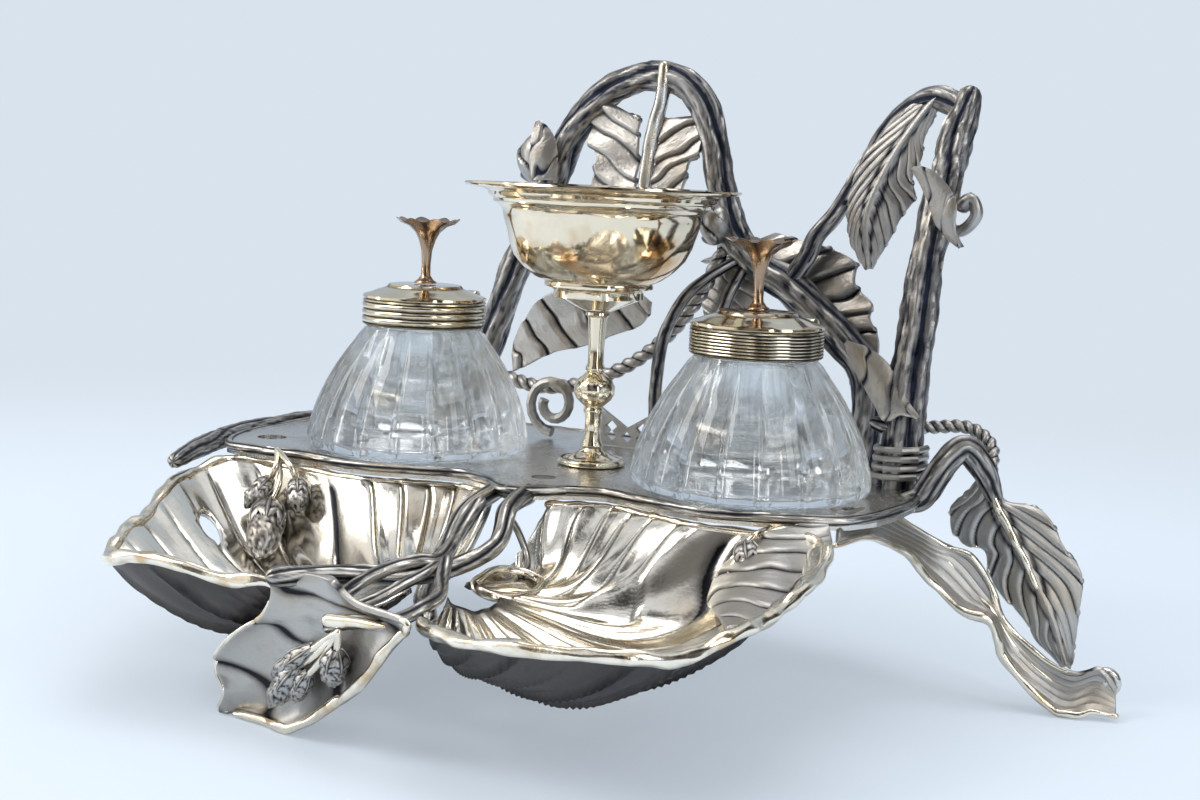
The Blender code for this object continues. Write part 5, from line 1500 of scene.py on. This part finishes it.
@dataclass
class Inkwell:
    """A fluted glass bottle with a turned collar, a hinged lid and a flower finial."""

    side: str
    bottle: Body
    cover: Body
    x: float
    turn: float
    lobes: int = 18
    collar_lines: int = 3
    glass_r: float = 0.030
    glass_high: float = 0.034
    neck_r: float = 0.0146
    neck_high: float = 0.0068
    collar_r: float = 0.0167
    floor: float = 0.0085
    seat: float = 0.0491

    def frame(self) -> Matrix:
        """The bottle's own frame in the stand's."""
        turn = Matrix.Rotation(math.radians(self.turn), 4, "Z")
        return Matrix.Translation((self.x, WELL_LINE, self.seat)) @ turn

    def glass(self, finishes: Finishes) -> None:
        """Makes the fluted bottle: lobes outside, a smooth well inside."""
        outer = (
            (0.497, 1.00), (0.520, 0.985), (0.560, 0.950), (0.600, 0.900), (0.640, 0.850), (0.700, 0.778),
            (0.755, 0.705), (0.812, 0.615), (0.862, 0.530), (0.905, 0.445), (0.942, 0.355), (0.968, 0.275),
            (0.988, 0.205), (1.000, 0.150), (0.996, 0.105), (0.975, 0.070), (0.930, 0.046), (0.860, 0.030),
            (0.800, 0.010), (0.760, 0.000), (0.40, 0.000), (0.36, 0.012), (0.0, 0.012),
        )
        bore = self.neck_r - 0.0022
        top = self.glass_high + self.neck_high
        rise = self.glass_high - self.floor
        inner = (
            (0.0, 0.0), (0.50, 0.0), (0.85, 0.01), (0.95, 0.05), (1.02, 0.12), (1.10, 0.22), (1.18, 0.34),
            (1.22, 0.46), (1.20, 0.60), (1.14, 0.74), (1.06, 0.88), (1.0, 0.98),
        )
        profile = [(r * bore, self.floor + h * rise) for r, h in inner]
        profile += [(bore, top - 0.0006), (bore + 0.0006, top), (self.neck_r - 0.0006, top)]
        profile += [(self.neck_r, top - 0.0006), (self.neck_r, self.glass_high)]
        profile += [(r * self.glass_r, h * self.glass_high) for r, h in outer]
        form = Form()
        form.turned(profile, self.lobes * 14)
        for vert in form.bm.verts:
            reach = math.hypot(vert.co.x, vert.co.y)
            height = vert.co.z / self.glass_high
            if reach < self.neck_r + 0.0004 or height > 1.01:
                continue
            lobe = abs(math.cos(math.atan2(vert.co.y, vert.co.x) * self.lobes / 2.0))
            depth = 0.048 * smooth_step(0.99, 0.88, height) * smooth_step(0.0, 0.10, height)
            fall = smooth_step(0.36, 0.75, reach / self.glass_r)
            factor = 1.0 - depth * fall * (1.0 - lobe**0.45)
            vert.co.x *= factor
            vert.co.y *= factor
        form.move(self.frame())
        form.bake("bottle_" + self.side, finishes.glass, self.bottle, Slot.GLASS, ("glass_" + self.side,),
                  sharp=80.0)

    def collar(self, finishes: Finishes) -> None:
        """Makes the ringed collar with its two hinge knuckles."""
        top = self.glass_high + self.neck_high + 0.0003
        low = self.glass_high + 0.0003
        inner = self.neck_r + 0.0002
        profile = [(inner, low), (self.collar_r - 0.0006, low), (self.collar_r - 0.0001, low + 0.0004)]
        count = self.collar_lines
        span = top - low - 0.0012
        for line in range(count):
            base = low + 0.0006 + span * line / count
            step = span / count
            profile += [
                (self.collar_r - 0.00055, base), (self.collar_r - 0.0001, base + 0.22 * step),
                (self.collar_r, base + 0.5 * step), (self.collar_r - 0.0001, base + 0.78 * step),
                (self.collar_r - 0.00055, base + step),
            ]
        profile += [(self.collar_r, top - 0.0004), (self.collar_r - 0.0003, top), (inner, top), (inner, low)]
        form = Form()
        form.turned(profile, 120)
        for vert in form.bm.verts:
            reach = math.hypot(vert.co.x, vert.co.y)
            vert[form.deep] = smooth_step(self.collar_r - 0.0002, self.collar_r - 0.0005, reach)
        for near, far in ((-0.0053, -0.0023), (0.0023, 0.0053)):
            self.barrel(form, near, far)
        form.move(self.frame())
        node = "collar_" + self.side
        form.bake("ring_" + self.side, finishes.collar, self.bottle, Slot.POLISHED, (node,), sharp=40.0)

    def barrel(self, form: Form, near: float, far: float) -> None:
        """Adds one hinge knuckle with its lug."""
        axis_y = self.collar_r + KNUCKLE_OUT
        axis_z = self.glass_high + self.neck_high + KNUCKLE_UP
        middle = ((near + far) / 2.0, axis_y, axis_z)
        spot = Matrix.Translation(middle) @ Matrix.Rotation(math.pi / 2.0, 4, "Y")
        made = bmesh.ops.create_cone(form.bm, cap_ends=True, segments=24, radius1=KNUCKLE_R,
                                     radius2=KNUCKLE_R,
                                     depth=far - near, matrix=spot)["verts"]
        edges = list({edge for vert in made for edge in vert.link_edges if len(edge.link_faces) == 2
                      and edge.calc_face_angle() > 1.0})
        bmesh.ops.bevel(form.bm, geom=edges, offset=0.0003, segments=2, profile=0.5, affect="EDGES",
                        material=-1)

    def lid(self, finishes: Finishes) -> None:
        """Makes the stepped lid, its hinge knuckle and the flower finial."""
        base = self.glass_high + self.neck_high + 0.0006
        top = base + 0.0040
        r = self.collar_r
        profile = [
            (0.0, top), (0.0088, top), (0.0098, top - 0.0001), (0.0101, top - 0.0005), (0.0103, top - 0.0009),
            (0.0112, top - 0.0012), (0.0130, top - 0.0018), (0.0148, top - 0.0026),
            (r - 0.0007, base + 0.0011),
            (r - 0.0001, base + 0.0008), (r, base + 0.0003), (r - 0.0003, base), (r - 0.0020, base),
            (0.0101, top - 0.0020), (0.0, top - 0.0020),
        ]
        form = Form()
        form.turned(profile, 96)
        for vert in form.bm.verts:
            reach = math.hypot(vert.co.x, vert.co.y)
            vert[form.deep] = 0.8 * math.exp(-(((reach - 0.0103) / 0.0004) ** 2))
        self.barrel(form, -0.0020, 0.0020)
        form.move(self.frame())
        node = "lid_" + self.side
        form.bake("cover_" + self.side, finishes.polished, self.cover, Slot.POLISHED, (node,), sharp=40.0)
        flower = Form()
        foot = top + 0.0003
        high = 0.0172
        trumpet = 0.0089
        profile = [
            (0.0, foot + 0.80 * high), (0.0010, foot + 0.82 * high), (0.0026, foot + 0.885 * high),
            (0.60 * trumpet, foot + 0.935 * high), (0.97 * trumpet, foot + high),
            (trumpet, foot + 0.995 * high),
            (0.93 * trumpet, foot + 0.968 * high), (0.60 * trumpet, foot + 0.900 * high),
            (0.38 * trumpet, foot + 0.800 * high), (0.26 * trumpet, foot + 0.680 * high),
            (0.0015, foot + 0.52 * high), (0.0012, foot + 0.30 * high), (0.0013, foot + 0.12 * high),
            (0.0022, foot + 0.05 * high), (0.0030, foot + 0.02 * high), (0.0030, foot), (0.0, foot),
        ]
        flower.turned(profile, 96)
        for vert in flower.bm.verts:
            reach = math.hypot(vert.co.x, vert.co.y)
            angle = math.atan2(vert.co.y, vert.co.x)
            lobe = math.cos(angle * 8.0)
            edge = smooth_step(0.45 * trumpet, trumpet, reach)
            vert.co.z += lobe * 0.0005 * edge
            factor = 1.0 - 0.06 * edge * (1.0 - lobe)
            vert.co.x *= factor
            vert.co.y *= factor
            crease = valley(angle * 8.0 / math.tau + 0.5, 0.14)
            vert[flower.deep] = crease * smooth_step(0.2 * trumpet, 0.5 * trumpet, reach)
        flower.move(self.frame())
        node = "finial_" + self.side
        flower.bake("flower_" + self.side, finishes.finial, self.cover, Slot.POLISHED, (node,), sharp=60.0)

    def build(self, finishes: Finishes) -> None:
        """Builds the whole inkwell.

        Args:
            finishes: the stand's materials.
        """
        self.glass(finishes)
        self.collar(finishes)
        self.lid(finishes)
        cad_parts["hinge_pin_" + self.side].material_slots[0].material = finishes.collar


@dataclass
class Cup:
    """The stemmed cup: a flared bowl with a stepped moulding, a knotted stem and a domed foot."""

    y: float = 0.0298
    base: float = 0.0503
    foot_high: float = 0.0044
    stem_high: float = 0.0350
    bowl_high: float = 0.0330
    bowl_r: float = 0.0250
    rim_r: float = 0.0362

    def foot(self, finishes: Finishes) -> None:
        """Makes the domed foot."""
        profile = (
            (0.0, 0.0044), (0.0026, 0.0044), (0.0029, 0.0041), (0.0031, 0.0036), (0.0038, 0.0029),
            (0.0050, 0.0022), (0.0066, 0.0016), (0.0078, 0.0013), (0.0082, 0.0015), (0.0087, 0.0014),
            (0.0090, 0.0010), (0.0090, 0.0002), (0.0088, 0.0), (0.0018, 0.0), (0.0018, -0.0093),
            (0.0, -0.0095),
        )
        self.spin("cup_base", profile, self.base, finishes, "cup_foot")

    def stem(self, finishes: Finishes) -> None:
        """Makes the stem with its knot and collars."""
        high = self.stem_high
        profile = (
            (0.0, high), (0.0032, high), (0.0033, high - 0.0006), (0.0026, high - 0.0012),
            (0.0024, high - 0.004),
            (0.0021, high - 0.009), (0.0021, 0.0215), (0.0026, 0.0205), (0.0026, 0.0198), (0.0022, 0.0193),
            (0.0030, 0.0186), (0.0046, 0.0172), (0.0054, 0.0157), (0.0054, 0.0137), (0.0046, 0.0122),
            (0.0030, 0.0108), (0.0022, 0.0101), (0.0026, 0.0096), (0.0026, 0.0089), (0.0021, 0.0080),
            (0.0021, 0.0040), (0.0024, 0.0015), (0.0031, 0.0003), (0.0031, 0.0), (0.0, 0.0),
        )
        self.spin("cup_shaft", profile, self.base + self.foot_high + CUP_SEAM, finishes, "cup_stem")

    def bowl(self, finishes: Finishes) -> None:
        """Makes the bowl with its flared rim and stepped mouldings."""
        high = self.bowl_high
        r = self.bowl_r
        outer = (
            (self.rim_r, high), (self.rim_r + 0.0002, high - 0.0005), (self.rim_r - 0.0004, high - 0.0010),
            (0.0335, high - 0.0014), (0.0312, high - 0.0018), (0.0302, high - 0.0024),
            (0.0300, high - 0.0032),
            (0.0292, high - 0.0037), (0.0288, high - 0.0042), (0.0288, high - 0.0050),
            (0.0276, high - 0.0056),
            (0.0265, high - 0.0068), (0.0262, high - 0.0085), (1.035 * r, 0.70 * high),
            (1.00 * r, 0.62 * high),
            (0.965 * r, 0.53 * high), (0.90 * r, 0.43 * high), (0.80 * r, 0.34 * high),
            (0.67 * r, 0.265 * high),
            (0.57 * r, 0.230 * high), (0.575 * r, 0.215 * high), (0.57 * r, 0.195 * high),
            (0.50 * r, 0.180 * high),
            (0.475 * r, 0.165 * high), (0.475 * r, 0.110 * high), (0.44 * r, 0.100 * high),
            (0.30 * r, 0.055 * high),
            (0.20 * r, 0.020 * high), (0.14 * r, 0.0), (0.0, 0.0),
        )
        inner = (
            (0.0, 0.250 * high), (0.50 * r, 0.252 * high), (0.63 * r, 0.290 * high), (0.76 * r, 0.370 * high),
            (0.86 * r, 0.460 * high), (0.92 * r, 0.550 * high), (0.96 * r, 0.640 * high),
            (0.0250, 0.75 * high),
            (0.0256, high - 0.0060), (0.0280, high - 0.0040), (0.0300, high - 0.0012),
            (0.0340, high - 0.0004),
        )
        profile = (*inner, *outer)
        lift = self.base + self.foot_high + CUP_SEAM + self.stem_high + CUP_SEAM
        self.spin("cup_body", profile, lift, finishes, "cup_bowl")

    def spin(self, name: str, profile: Sequence[Row], lift: float, finishes: Finishes, node: str) -> None:
        """Makes one turned piece of the cup, slightly dented by use.

        Args:
            name: the piece's name.
            profile: radius and height pairs.
            lift: the height of the profile's zero.
            finishes: the stand's materials.
            node: the CAD node that it stands for.
        """
        form = Form()
        form.turned(profile, 128)
        for vert in form.bm.verts:
            reach = math.hypot(vert.co.x, vert.co.y)
            if reach > 0.012:
                dent = noise.noise(vert.co * 130.0) * 0.00035 + noise.noise(vert.co * 60.0) * 0.0003
                vert.co.x *= 1.0 + dent / reach
                vert.co.y *= 1.0 + dent / reach
        form.move(Matrix.Translation((0.0, self.y, lift)))
        form.bake(name, finishes.polished, Body.STAND, Slot.POLISHED, (node,), sharp=45.0)

    def build(self, finishes: Finishes) -> None:
        """Builds the whole cup.

        Args:
            finishes: the stand's materials.
        """
        self.foot(finishes)
        self.stem(finishes)
        self.bowl(finishes)
        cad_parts["cup_nut"].material_slots[0].material = finishes.collar


ARCH: Sequence[Row] = (
    (-0.744, 0.893, -0.012, 1.20), (-0.720, 0.930, 0.095, 1.05), (-0.656, 1.000, 0.248, 1.00),
    (-0.589, 1.000, 0.429, 1.00), (-0.478, 1.000, 0.629, 1.00), (-0.400, 1.000, 0.819, 1.00),
    (-0.289, 1.000, 0.933, 1.00), (-0.200, 1.000, 0.981, 1.00), (-0.100, 1.000, 1.000, 1.00),
    (0.000, 1.000, 0.986, 1.00), (0.074, 1.000, 0.924, 1.00), (0.114, 1.000, 0.829, 0.95),
    (0.144, 1.000, 0.714, 0.95), (0.200, 1.000, 0.581, 1.00), (0.289, 1.000, 0.495, 1.05),
    (0.400, 1.000, 0.443, 1.10), (0.567, 1.000, 0.324, 1.10), (0.655, 1.000, 0.229, 1.05),
    (0.661, 0.980, 0.095, 1.00), (0.640, 0.930, -0.012, 1.10),
)
PEAK: Sequence[Row] = (
    (0.378, 1.00, 0.443, 0.62), (0.440, 1.02, 0.530, 0.60), (0.472, 1.02, 0.590, 0.60),
    (0.533, 1.02, 0.652, 0.60), (0.600, 1.02, 0.747, 0.62), (0.678, 1.00, 0.857, 0.66),
    (0.767, 0.97, 0.933, 0.72), (0.856, 0.93, 0.957, 0.80), (0.939, 0.89, 0.925, 0.80),
)
POST: Sequence[Row] = (
    (0.844, 0.589, -0.012, 1.20), (0.856, 0.607, 0.207, 1.10), (0.867, 0.661, 0.381, 1.05),
    (0.878, 0.732, 0.571, 1.00), (0.900, 0.804, 0.724, 1.00), (0.922, 0.857, 0.848, 0.95),
    (0.950, 0.893, 0.955, 0.75),
)
ROPE_STEM: Sequence[Row] = (
    (-0.700, 0.98, 0.165, 0.50), (-0.590, 0.94, 0.143, 0.50), (-0.444, 0.91, 0.124, 0.50),
    (-0.289, 0.89, 0.143, 0.50), (-0.111, 0.89, 0.210, 0.50), (0.022, 0.91, 0.305, 0.50),
    (0.111, 0.95, 0.419, 0.50), (0.178, 1.00, 0.560, 0.50),
)
REED: Sequence[Row] = (
    (0.022, 0.80, -0.012, 0.50), (0.010, 0.80, 0.140, 0.46), (0.030, 0.79, 0.290, 0.44),
    (0.090, 0.80, 0.400, 0.40), (0.160, 0.85, 0.465, 0.36), (0.245, 1.00, 0.525, 0.34),
)
CANE: Sequence[Row] = (
    (0.150, 0.83, -0.012, 0.50), (0.160, 0.83, 0.140, 0.46), (0.185, 0.84, 0.290, 0.44),
    (0.215, 0.89, 0.410, 0.40), (0.260, 1.00, 0.520, 0.36),
)
ROPE_LOOP: Sequence[Row] = (
    (0.860, 0.62, 0.138, 0.42), (0.920, 0.68, 0.142, 0.42), (1.010, 0.70, 0.150, 0.42),
    (1.070, 0.68, 0.135, 0.42), (1.105, 0.64, 0.105, 0.42), (1.115, 0.57, 0.060, 0.40),
)
TENDRIL: Sequence[Row] = (
    (0.895, 0.790, 0.640, 0.40), (0.960, 0.780, 0.625, 0.38), (1.005, 0.775, 0.665, 0.38),
    (0.990, 0.775, 0.705, 0.42), (0.967, 0.775, 0.690, 0.50),
)
STUB: Sequence[Row] = (
    (0.852, 0.605, 0.132, 0.50), (0.800, 0.600, 0.139, 0.50), (0.770, 0.600, 0.143, 0.42),
)

@dataclass
class Rack:
    """The back rack: a bark arch, a peaked branch on a post, ropes, leaves, buds and scroll work."""

    leaf_thick: float = 0.0015

    def rows(self, shares: Sequence[Row], radius: float = BRANCH_R) -> list[Row]:
        """Shares as rows with real radii."""
        return [rack_row(x, y, z, size * radius) for x, y, z, size in shares]

    def bars(self, finishes: Finishes) -> None:
        """Makes the arch, the post, the peak, the ropes and the thin stems."""
        rack = finishes.rack
        stems = Stems(0.0008, 48)
        stems.bar("arch_bark", self.rows(ARCH, 1.08 * BRANCH_R), rack, Slot.RACK,
                  Bark(3, 0.26, 0.13, 3.0, 0.10, 2.0), ("arch_branch",))
        stems.bar("post_bark", self.rows(POST, 1.12 * BRANCH_R), rack, Slot.RACK,
                  Bark(4, 0.26, 0.14, 3.0, 0.14, 7.0), ("right_post",))
        stems.bar("peak_bark", self.rows(PEAK), rack, Slot.RACK, Bark(3, 0.20, 0.16, 4.0, 0.10, 9.0),
                  ("peak_branch",))
        rope = Stems(0.0004, 30)
        rope.bar("rope_twist", self.rows(ROPE_STEM), rack, Slot.RACK, Rope(2, 0.34, 0.0075), ("rope_stem",))
        rope.bar("rope_twist_right", self.rows(ROPE_LOOP), rack, Slot.RACK, Rope(2, 0.34, 0.0055),
                 ("rope_loop",))
        thin = Stems(0.0008, 28)
        reed = Bark(4, 0.16, 0.18, 10.0, 0.08, 4.0)
        thin.bar("reed_bark", self.rows(REED), rack, Slot.RACK, reed, ("reed_stem",))
        thin.bar("cane_bark", self.rows(CANE), rack, Slot.RACK, reed, ("cane_stem",))
        thin.bar("tendril_bark", self.rows(TENDRIL), rack, Slot.RACK, Plain(0.12), ("tendril_curl",))
        thin.bar("stub_bark", self.rows(STUB), rack, Slot.RACK, reed, ("post_stub",))

    def blades(self, name: str, node: str, blades: Sequence[Blade], finishes: Finishes) -> None:
        """Makes one piece of one or more cast blades."""
        form = Form()
        for blade in blades:
            blade.build(form)
        stands_for = (node,) if node else ()
        form.bake(name, finishes.rack, Body.STAND, Slot.RACK, stands_for, self.leaf_thick, 1)

    def leaves(self, finishes: Finishes) -> None:
        """Makes the rack's leaves and their stems."""
        left = Blade(WING_LEFT_OUTER, WING_LEFT_INNER, folds=4.2, slant=-0.30, fold=0.0022, crease=0.0008,
                     seed=1.0)
        right = Blade(WING_RIGHT_OUTER, WING_RIGHT_INNER, folds=4.2, slant=-0.30, fold=0.0022, crease=0.0008,
                      seed=2.0)
        self.blades("middle_leaf", "centre_leaf", (left, right), finishes)
        fan = Blade(FAN_INNER, FAN_OUTER, folds=7.5, slant=0.06, fold=0.0020, crease=0.0009, teeth=0.10,
                    seed=3.0)
        inner = Blade(INNER_LEFT, INNER_RIGHT, folds=5.0, slant=-0.5, fold=0.0010, crease=0.0006,
                      belly=0.0025,
                      seed=4.0)
        self.blades("fan_leaf", "big_leaf", (fan, inner), finishes)
        droop = Blade(DROOP_LEFT, DROOP_RIGHT, DROOP_MIDDLE, folds=11.0, slant=-0.30, fold=0.0010,
                      crease=0.0006,
                      rib=0.0012, rib_wide=0.10, teeth=0.08, seed=5.0)
        self.blades("drooping_leaf", "hanging_leaf", (droop,), finishes)
        side = Blade(SIDE_HIGH, SIDE_LOW, folds=6.0, slant=-0.12, fold=0.0016, crease=0.0008, seed=6.0)
        self.blades("side_leaf", "lower_leaf", (side,), finishes)
        thorn = Blade(THORN_HIGH_LEFT, THORN_HIGH_RIGHT, folds=3.0, slant=0.2, fold=0.0006, belly=0.0016,
                      seed=7.0)
        self.blades("thorn_leaf_upper", "thorn_upper", (thorn,), finishes)
        thorn = Blade(THORN_LOW_LEFT, THORN_LOW_RIGHT, folds=3.0, slant=0.2, fold=0.0006, belly=0.0018,
                      seed=8.0)
        self.blades("thorn_leaf_lower", "thorn_lower", (thorn,), finishes)
        bud = Blade(BUD_LEAF_LEFT, BUD_LEAF_RIGHT, folds=2.0, slant=0.3, fold=0.0008, belly=0.0022, seed=9.0)
        self.blades("bud_leaf", "", (bud,), finishes)
        stems = Stems(0.0007, 30)
        rows = [(*millimetres(row), size) for row, size in zip(
            WING_STEM, (0.0016, 0.0021, 0.0020, 0.0023, 0.0022, 0.0021, 0.0020, 0.0018))]
        stems.bar("middle_leaf_stem", rows, finishes.tray, Slot.RACK, Plain(0.10, 2.0))
        rows = [(*millimetres(row), 0.0017) for row in FAN_STEM]
        stems.bar("fan_leaf_stem", rows, finishes.rack, Slot.RACK, Bark(3, 0.2, 0.2, 5.0, 0.10, 3.0))

    def buds(self, finishes: Finishes) -> None:
        """Makes the two rose buds on the arch, each of overlapping petals."""
        for node in ("arch_bud_left", "arch_bud_right"):
            low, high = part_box(node)
            centre = (low + high) / 2.0
            size = (high - low) / 2.0
            form = Form()
            made = form.ball(centre, Vector((0.15, -0.1, 1.0)).normalized(), size * 0.97, 40)
            for vert in made:
                away = vert.co - centre
                angle = math.atan2(away.y, away.x)
                height = away.z / size.z
                turn = angle / math.tau * 3.0 + height * 0.9
                edge = turn % 1.0
                fade = smooth_step(-1.0, -0.6, height)
                vert.co += away.normalized() * ((edge - 0.5) * 0.0011 * fade)
                vert[form.deep] = smooth_step(0.16, 0.0, edge) * fade
                vert[form.grain] = (angle * 0.002, height * 0.002, 0.0)
            form.bake(node + "_petals", finishes.rack, Body.STAND, Slot.RACK, (node,), sharp=70.0)

    def trims(self, finishes: Finishes) -> None:
        """Gives the binding, the scroll and the lattice their finish."""
        for node in ("post_binding", "c_scroll", "lattice_panel"):
            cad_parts[node].material_slots[0].material = finishes.rack

    def build(self, finishes: Finishes) -> None:
        """Builds the whole rack.

        Args:
            finishes: the stand's materials.
        """
        self.bars(finishes)
        self.leaves(finishes)
        self.buds(finishes)
        self.trims(finishes)


@dataclass
class Studio:
    """The pale floor, the soft lamps, the surroundings and the camera."""

    camera_place: Row = (0.2138, -0.4149 + WELL_LINE, 0.1265)
    heading: float = math.radians(26.6)
    roll: float = math.radians(2.6)
    lens: float = 54.0
    shift: Row = (-0.0085, -0.188)
    backdrop: Colour = (0.694, 0.768, 0.847)

    def floor(self) -> None:
        """Makes the floor and its gentle rise far behind."""
        bm = bmesh.new()
        bmesh.ops.create_grid(bm, x_segments=2, y_segments=40, size=2.5)
        for vert in bm.verts:
            back = vert.co.y - 1.0
            if back > 0.0:
                vert.co.z = 0.9 * (1.0 - math.cos(min(back / 1.5, 1.0) * math.pi / 2.0))
        turn = Matrix.Rotation(self.heading, 4, "Z")
        bmesh.ops.transform(bm, matrix=turn, verts=bm.verts)
        mesh = bpy.data.meshes.new("floor")
        bm.to_mesh(mesh)
        bm.free()
        mesh.shade_smooth()
        piece = bpy.data.objects.new("floor", mesh)
        bpy.context.scene.collection.objects.link(piece)
        finish = FloorFinish("pale_floor", (0.694, 0.768, 0.847), (0.694, 0.768, 0.847), 0.45)
        mesh.materials.append(finish.build())

    def lamp(self, name: str, place: Row, aim: Row, size: Row, power: float, colour: Colour) -> None:
        """Adds one soft lamp."""
        lamp = bpy.data.lights.new(name, "AREA")
        lamp.shape = "RECTANGLE"
        lamp.size = size[0]
        lamp.size_y = size[1]
        lamp.energy = power
        lamp.color = colour
        thing = bpy.data.objects.new(name, lamp)
        thing.location = place
        way = Vector(aim) - Vector(place)
        thing.rotation_euler = way.to_track_quat("-Z", "Y").to_euler()
        bpy.context.scene.collection.objects.link(thing)

    def surroundings(self) -> None:
        """Makes the world: pale to the camera and glass, a light tent with a dark front to the metal."""
        world = bpy.data.worlds.new("tent")
        bpy.context.scene.world = world
        world.use_nodes = True
        tree = ShaderTree.__new__(ShaderTree)
        tree.tree = world.node_tree
        tree.tree.nodes.clear()
        way = tree.node("ShaderNodeTexCoord", {}, {}, "Generated")
        high = tree.node("ShaderNodeSeparateXYZ", {}, {"Vector": way}, 2)
        front = self.towards(tree, way, (0.448, -0.894, 0.0))
        left = self.towards(tree, way, (-0.894, -0.448, 0.0))
        clutter = tree.noise(way, 2.6, 2.0)
        room = tree.mix(clutter.step(0.42, 0.62), (0.012, 0.011, 0.010), (0.20, 0.19, 0.185))
        room = tree.mix(front.step(-0.20, -0.60), room, (0.50, 0.56, 0.63))
        room = tree.mix(left.step(0.55, 0.70) * high.step(-0.05, 0.05), room, (0.95, 0.92, 0.86))
        room = tree.mix(high.step(0.60, 0.75) * clutter.step(0.42, 0.50), room, (0.85, 0.87, 0.90))
        lit = tree.mix(high.step(-0.25, 0.75), (0.42, 0.45, 0.50), (0.66, 0.69, 0.74))
        glossy = tree.node("ShaderNodeLightPath", {}, {}, "Is Glossy Ray")
        tent = tree.mix(glossy, lit, room)
        seen = tree.node("ShaderNodeLightPath", {}, {}, "Is Camera Ray")
        through = tree.node("ShaderNodeLightPath", {}, {}, "Is Transmission Ray")
        level = (high * high).step(0.30, 0.05)
        tent = tree.mix(through, tent, tree.mix(level, room, self.backdrop))
        colour = tree.mix(seen, tent, self.backdrop)
        shader = tree.node("ShaderNodeBackground", {}, {"Color": colour, "Strength": 1.0}, 0)
        out = tree.tree.nodes.new("ShaderNodeOutputWorld")
        tree.tree.links.new(shader.socket, out.inputs["Surface"])

    def towards(self, tree: ShaderTree, way: Signal, aim: Row) -> Signal:
        """How far a direction points towards an aim, from -1 to 1."""
        return tree.node("ShaderNodeVectorMath", {"operation": "DOT_PRODUCT"}, {0: way, 1: aim}, "Value")

    def camera(self) -> None:
        """Places the camera where the photograph was taken."""
        camera = bpy.data.cameras.new("view")
        camera.lens = self.lens
        camera.sensor_width = 36.0
        camera.shift_x, camera.shift_y = self.shift
        thing = bpy.data.objects.new("view", camera)
        ahead = Vector((-math.sin(self.heading), math.cos(self.heading), 0.0))
        up = Vector((0.0, 0.0, 1.0))
        side = ahead.cross(up)
        turn = Matrix((side, up, -ahead)).transposed() @ Matrix.Rotation(self.roll, 3, "Z")
        thing.rotation_euler = turn.to_euler()
        thing.location = self.camera_place
        bpy.context.scene.collection.objects.link(thing)
        bpy.context.scene.camera = thing

    def build(self) -> None:
        """Sets the whole stage."""
        self.floor()
        self.lamp("key", (-0.55, -0.55, 0.75), (0.0, 0.0, 0.05), (0.45, 0.45), 4.6, (1.0, 0.97, 0.93))
        self.lamp("fill", (0.85, -0.20, 0.50), (0.0, 0.0, 0.05), (0.30, 0.6), 2.2, (0.93, 0.96, 1.0))
        self.lamp("top", (0.05, 0.15, 0.95), (0.0, 0.0, 0.0), (0.7, 0.5), 3.2, (1.0, 1.0, 1.0))
        self.lamp("strip_left", (-0.60, -0.25, 0.22), (0.0, 0.0, 0.07), (0.07, 0.5), 0.9, (1.0, 1.0, 1.0))
        self.lamp("strip_right", (0.55, -0.45, 0.22), (0.0, 0.0, 0.07), (0.06, 0.5), 0.6, (1.0, 0.98, 0.95))
        self.surroundings()
        self.camera()
        bpy.context.scene.view_settings.view_transform = "Standard"


def main() -> None:
    """Builds the stand's sub-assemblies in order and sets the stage."""
    logging.basicConfig(level=logging.INFO, format="%(name)s: %(message)s")
    Studio().build()
    finishes = make_finishes()
    Tray().build(finishes)
    Inkwell("left", Body.LEFT_BOTTLE, Body.LEFT_LID, -0.0485, 0.0, 18, 3).build(finishes)
    Inkwell("right", Body.RIGHT_BOTTLE, Body.RIGHT_LID, 0.0485, -12.0, 18, 7).build(finishes)
    Cup().build(finishes)
    Rack().build(finishes)


if __name__ == "__main__":
    main()
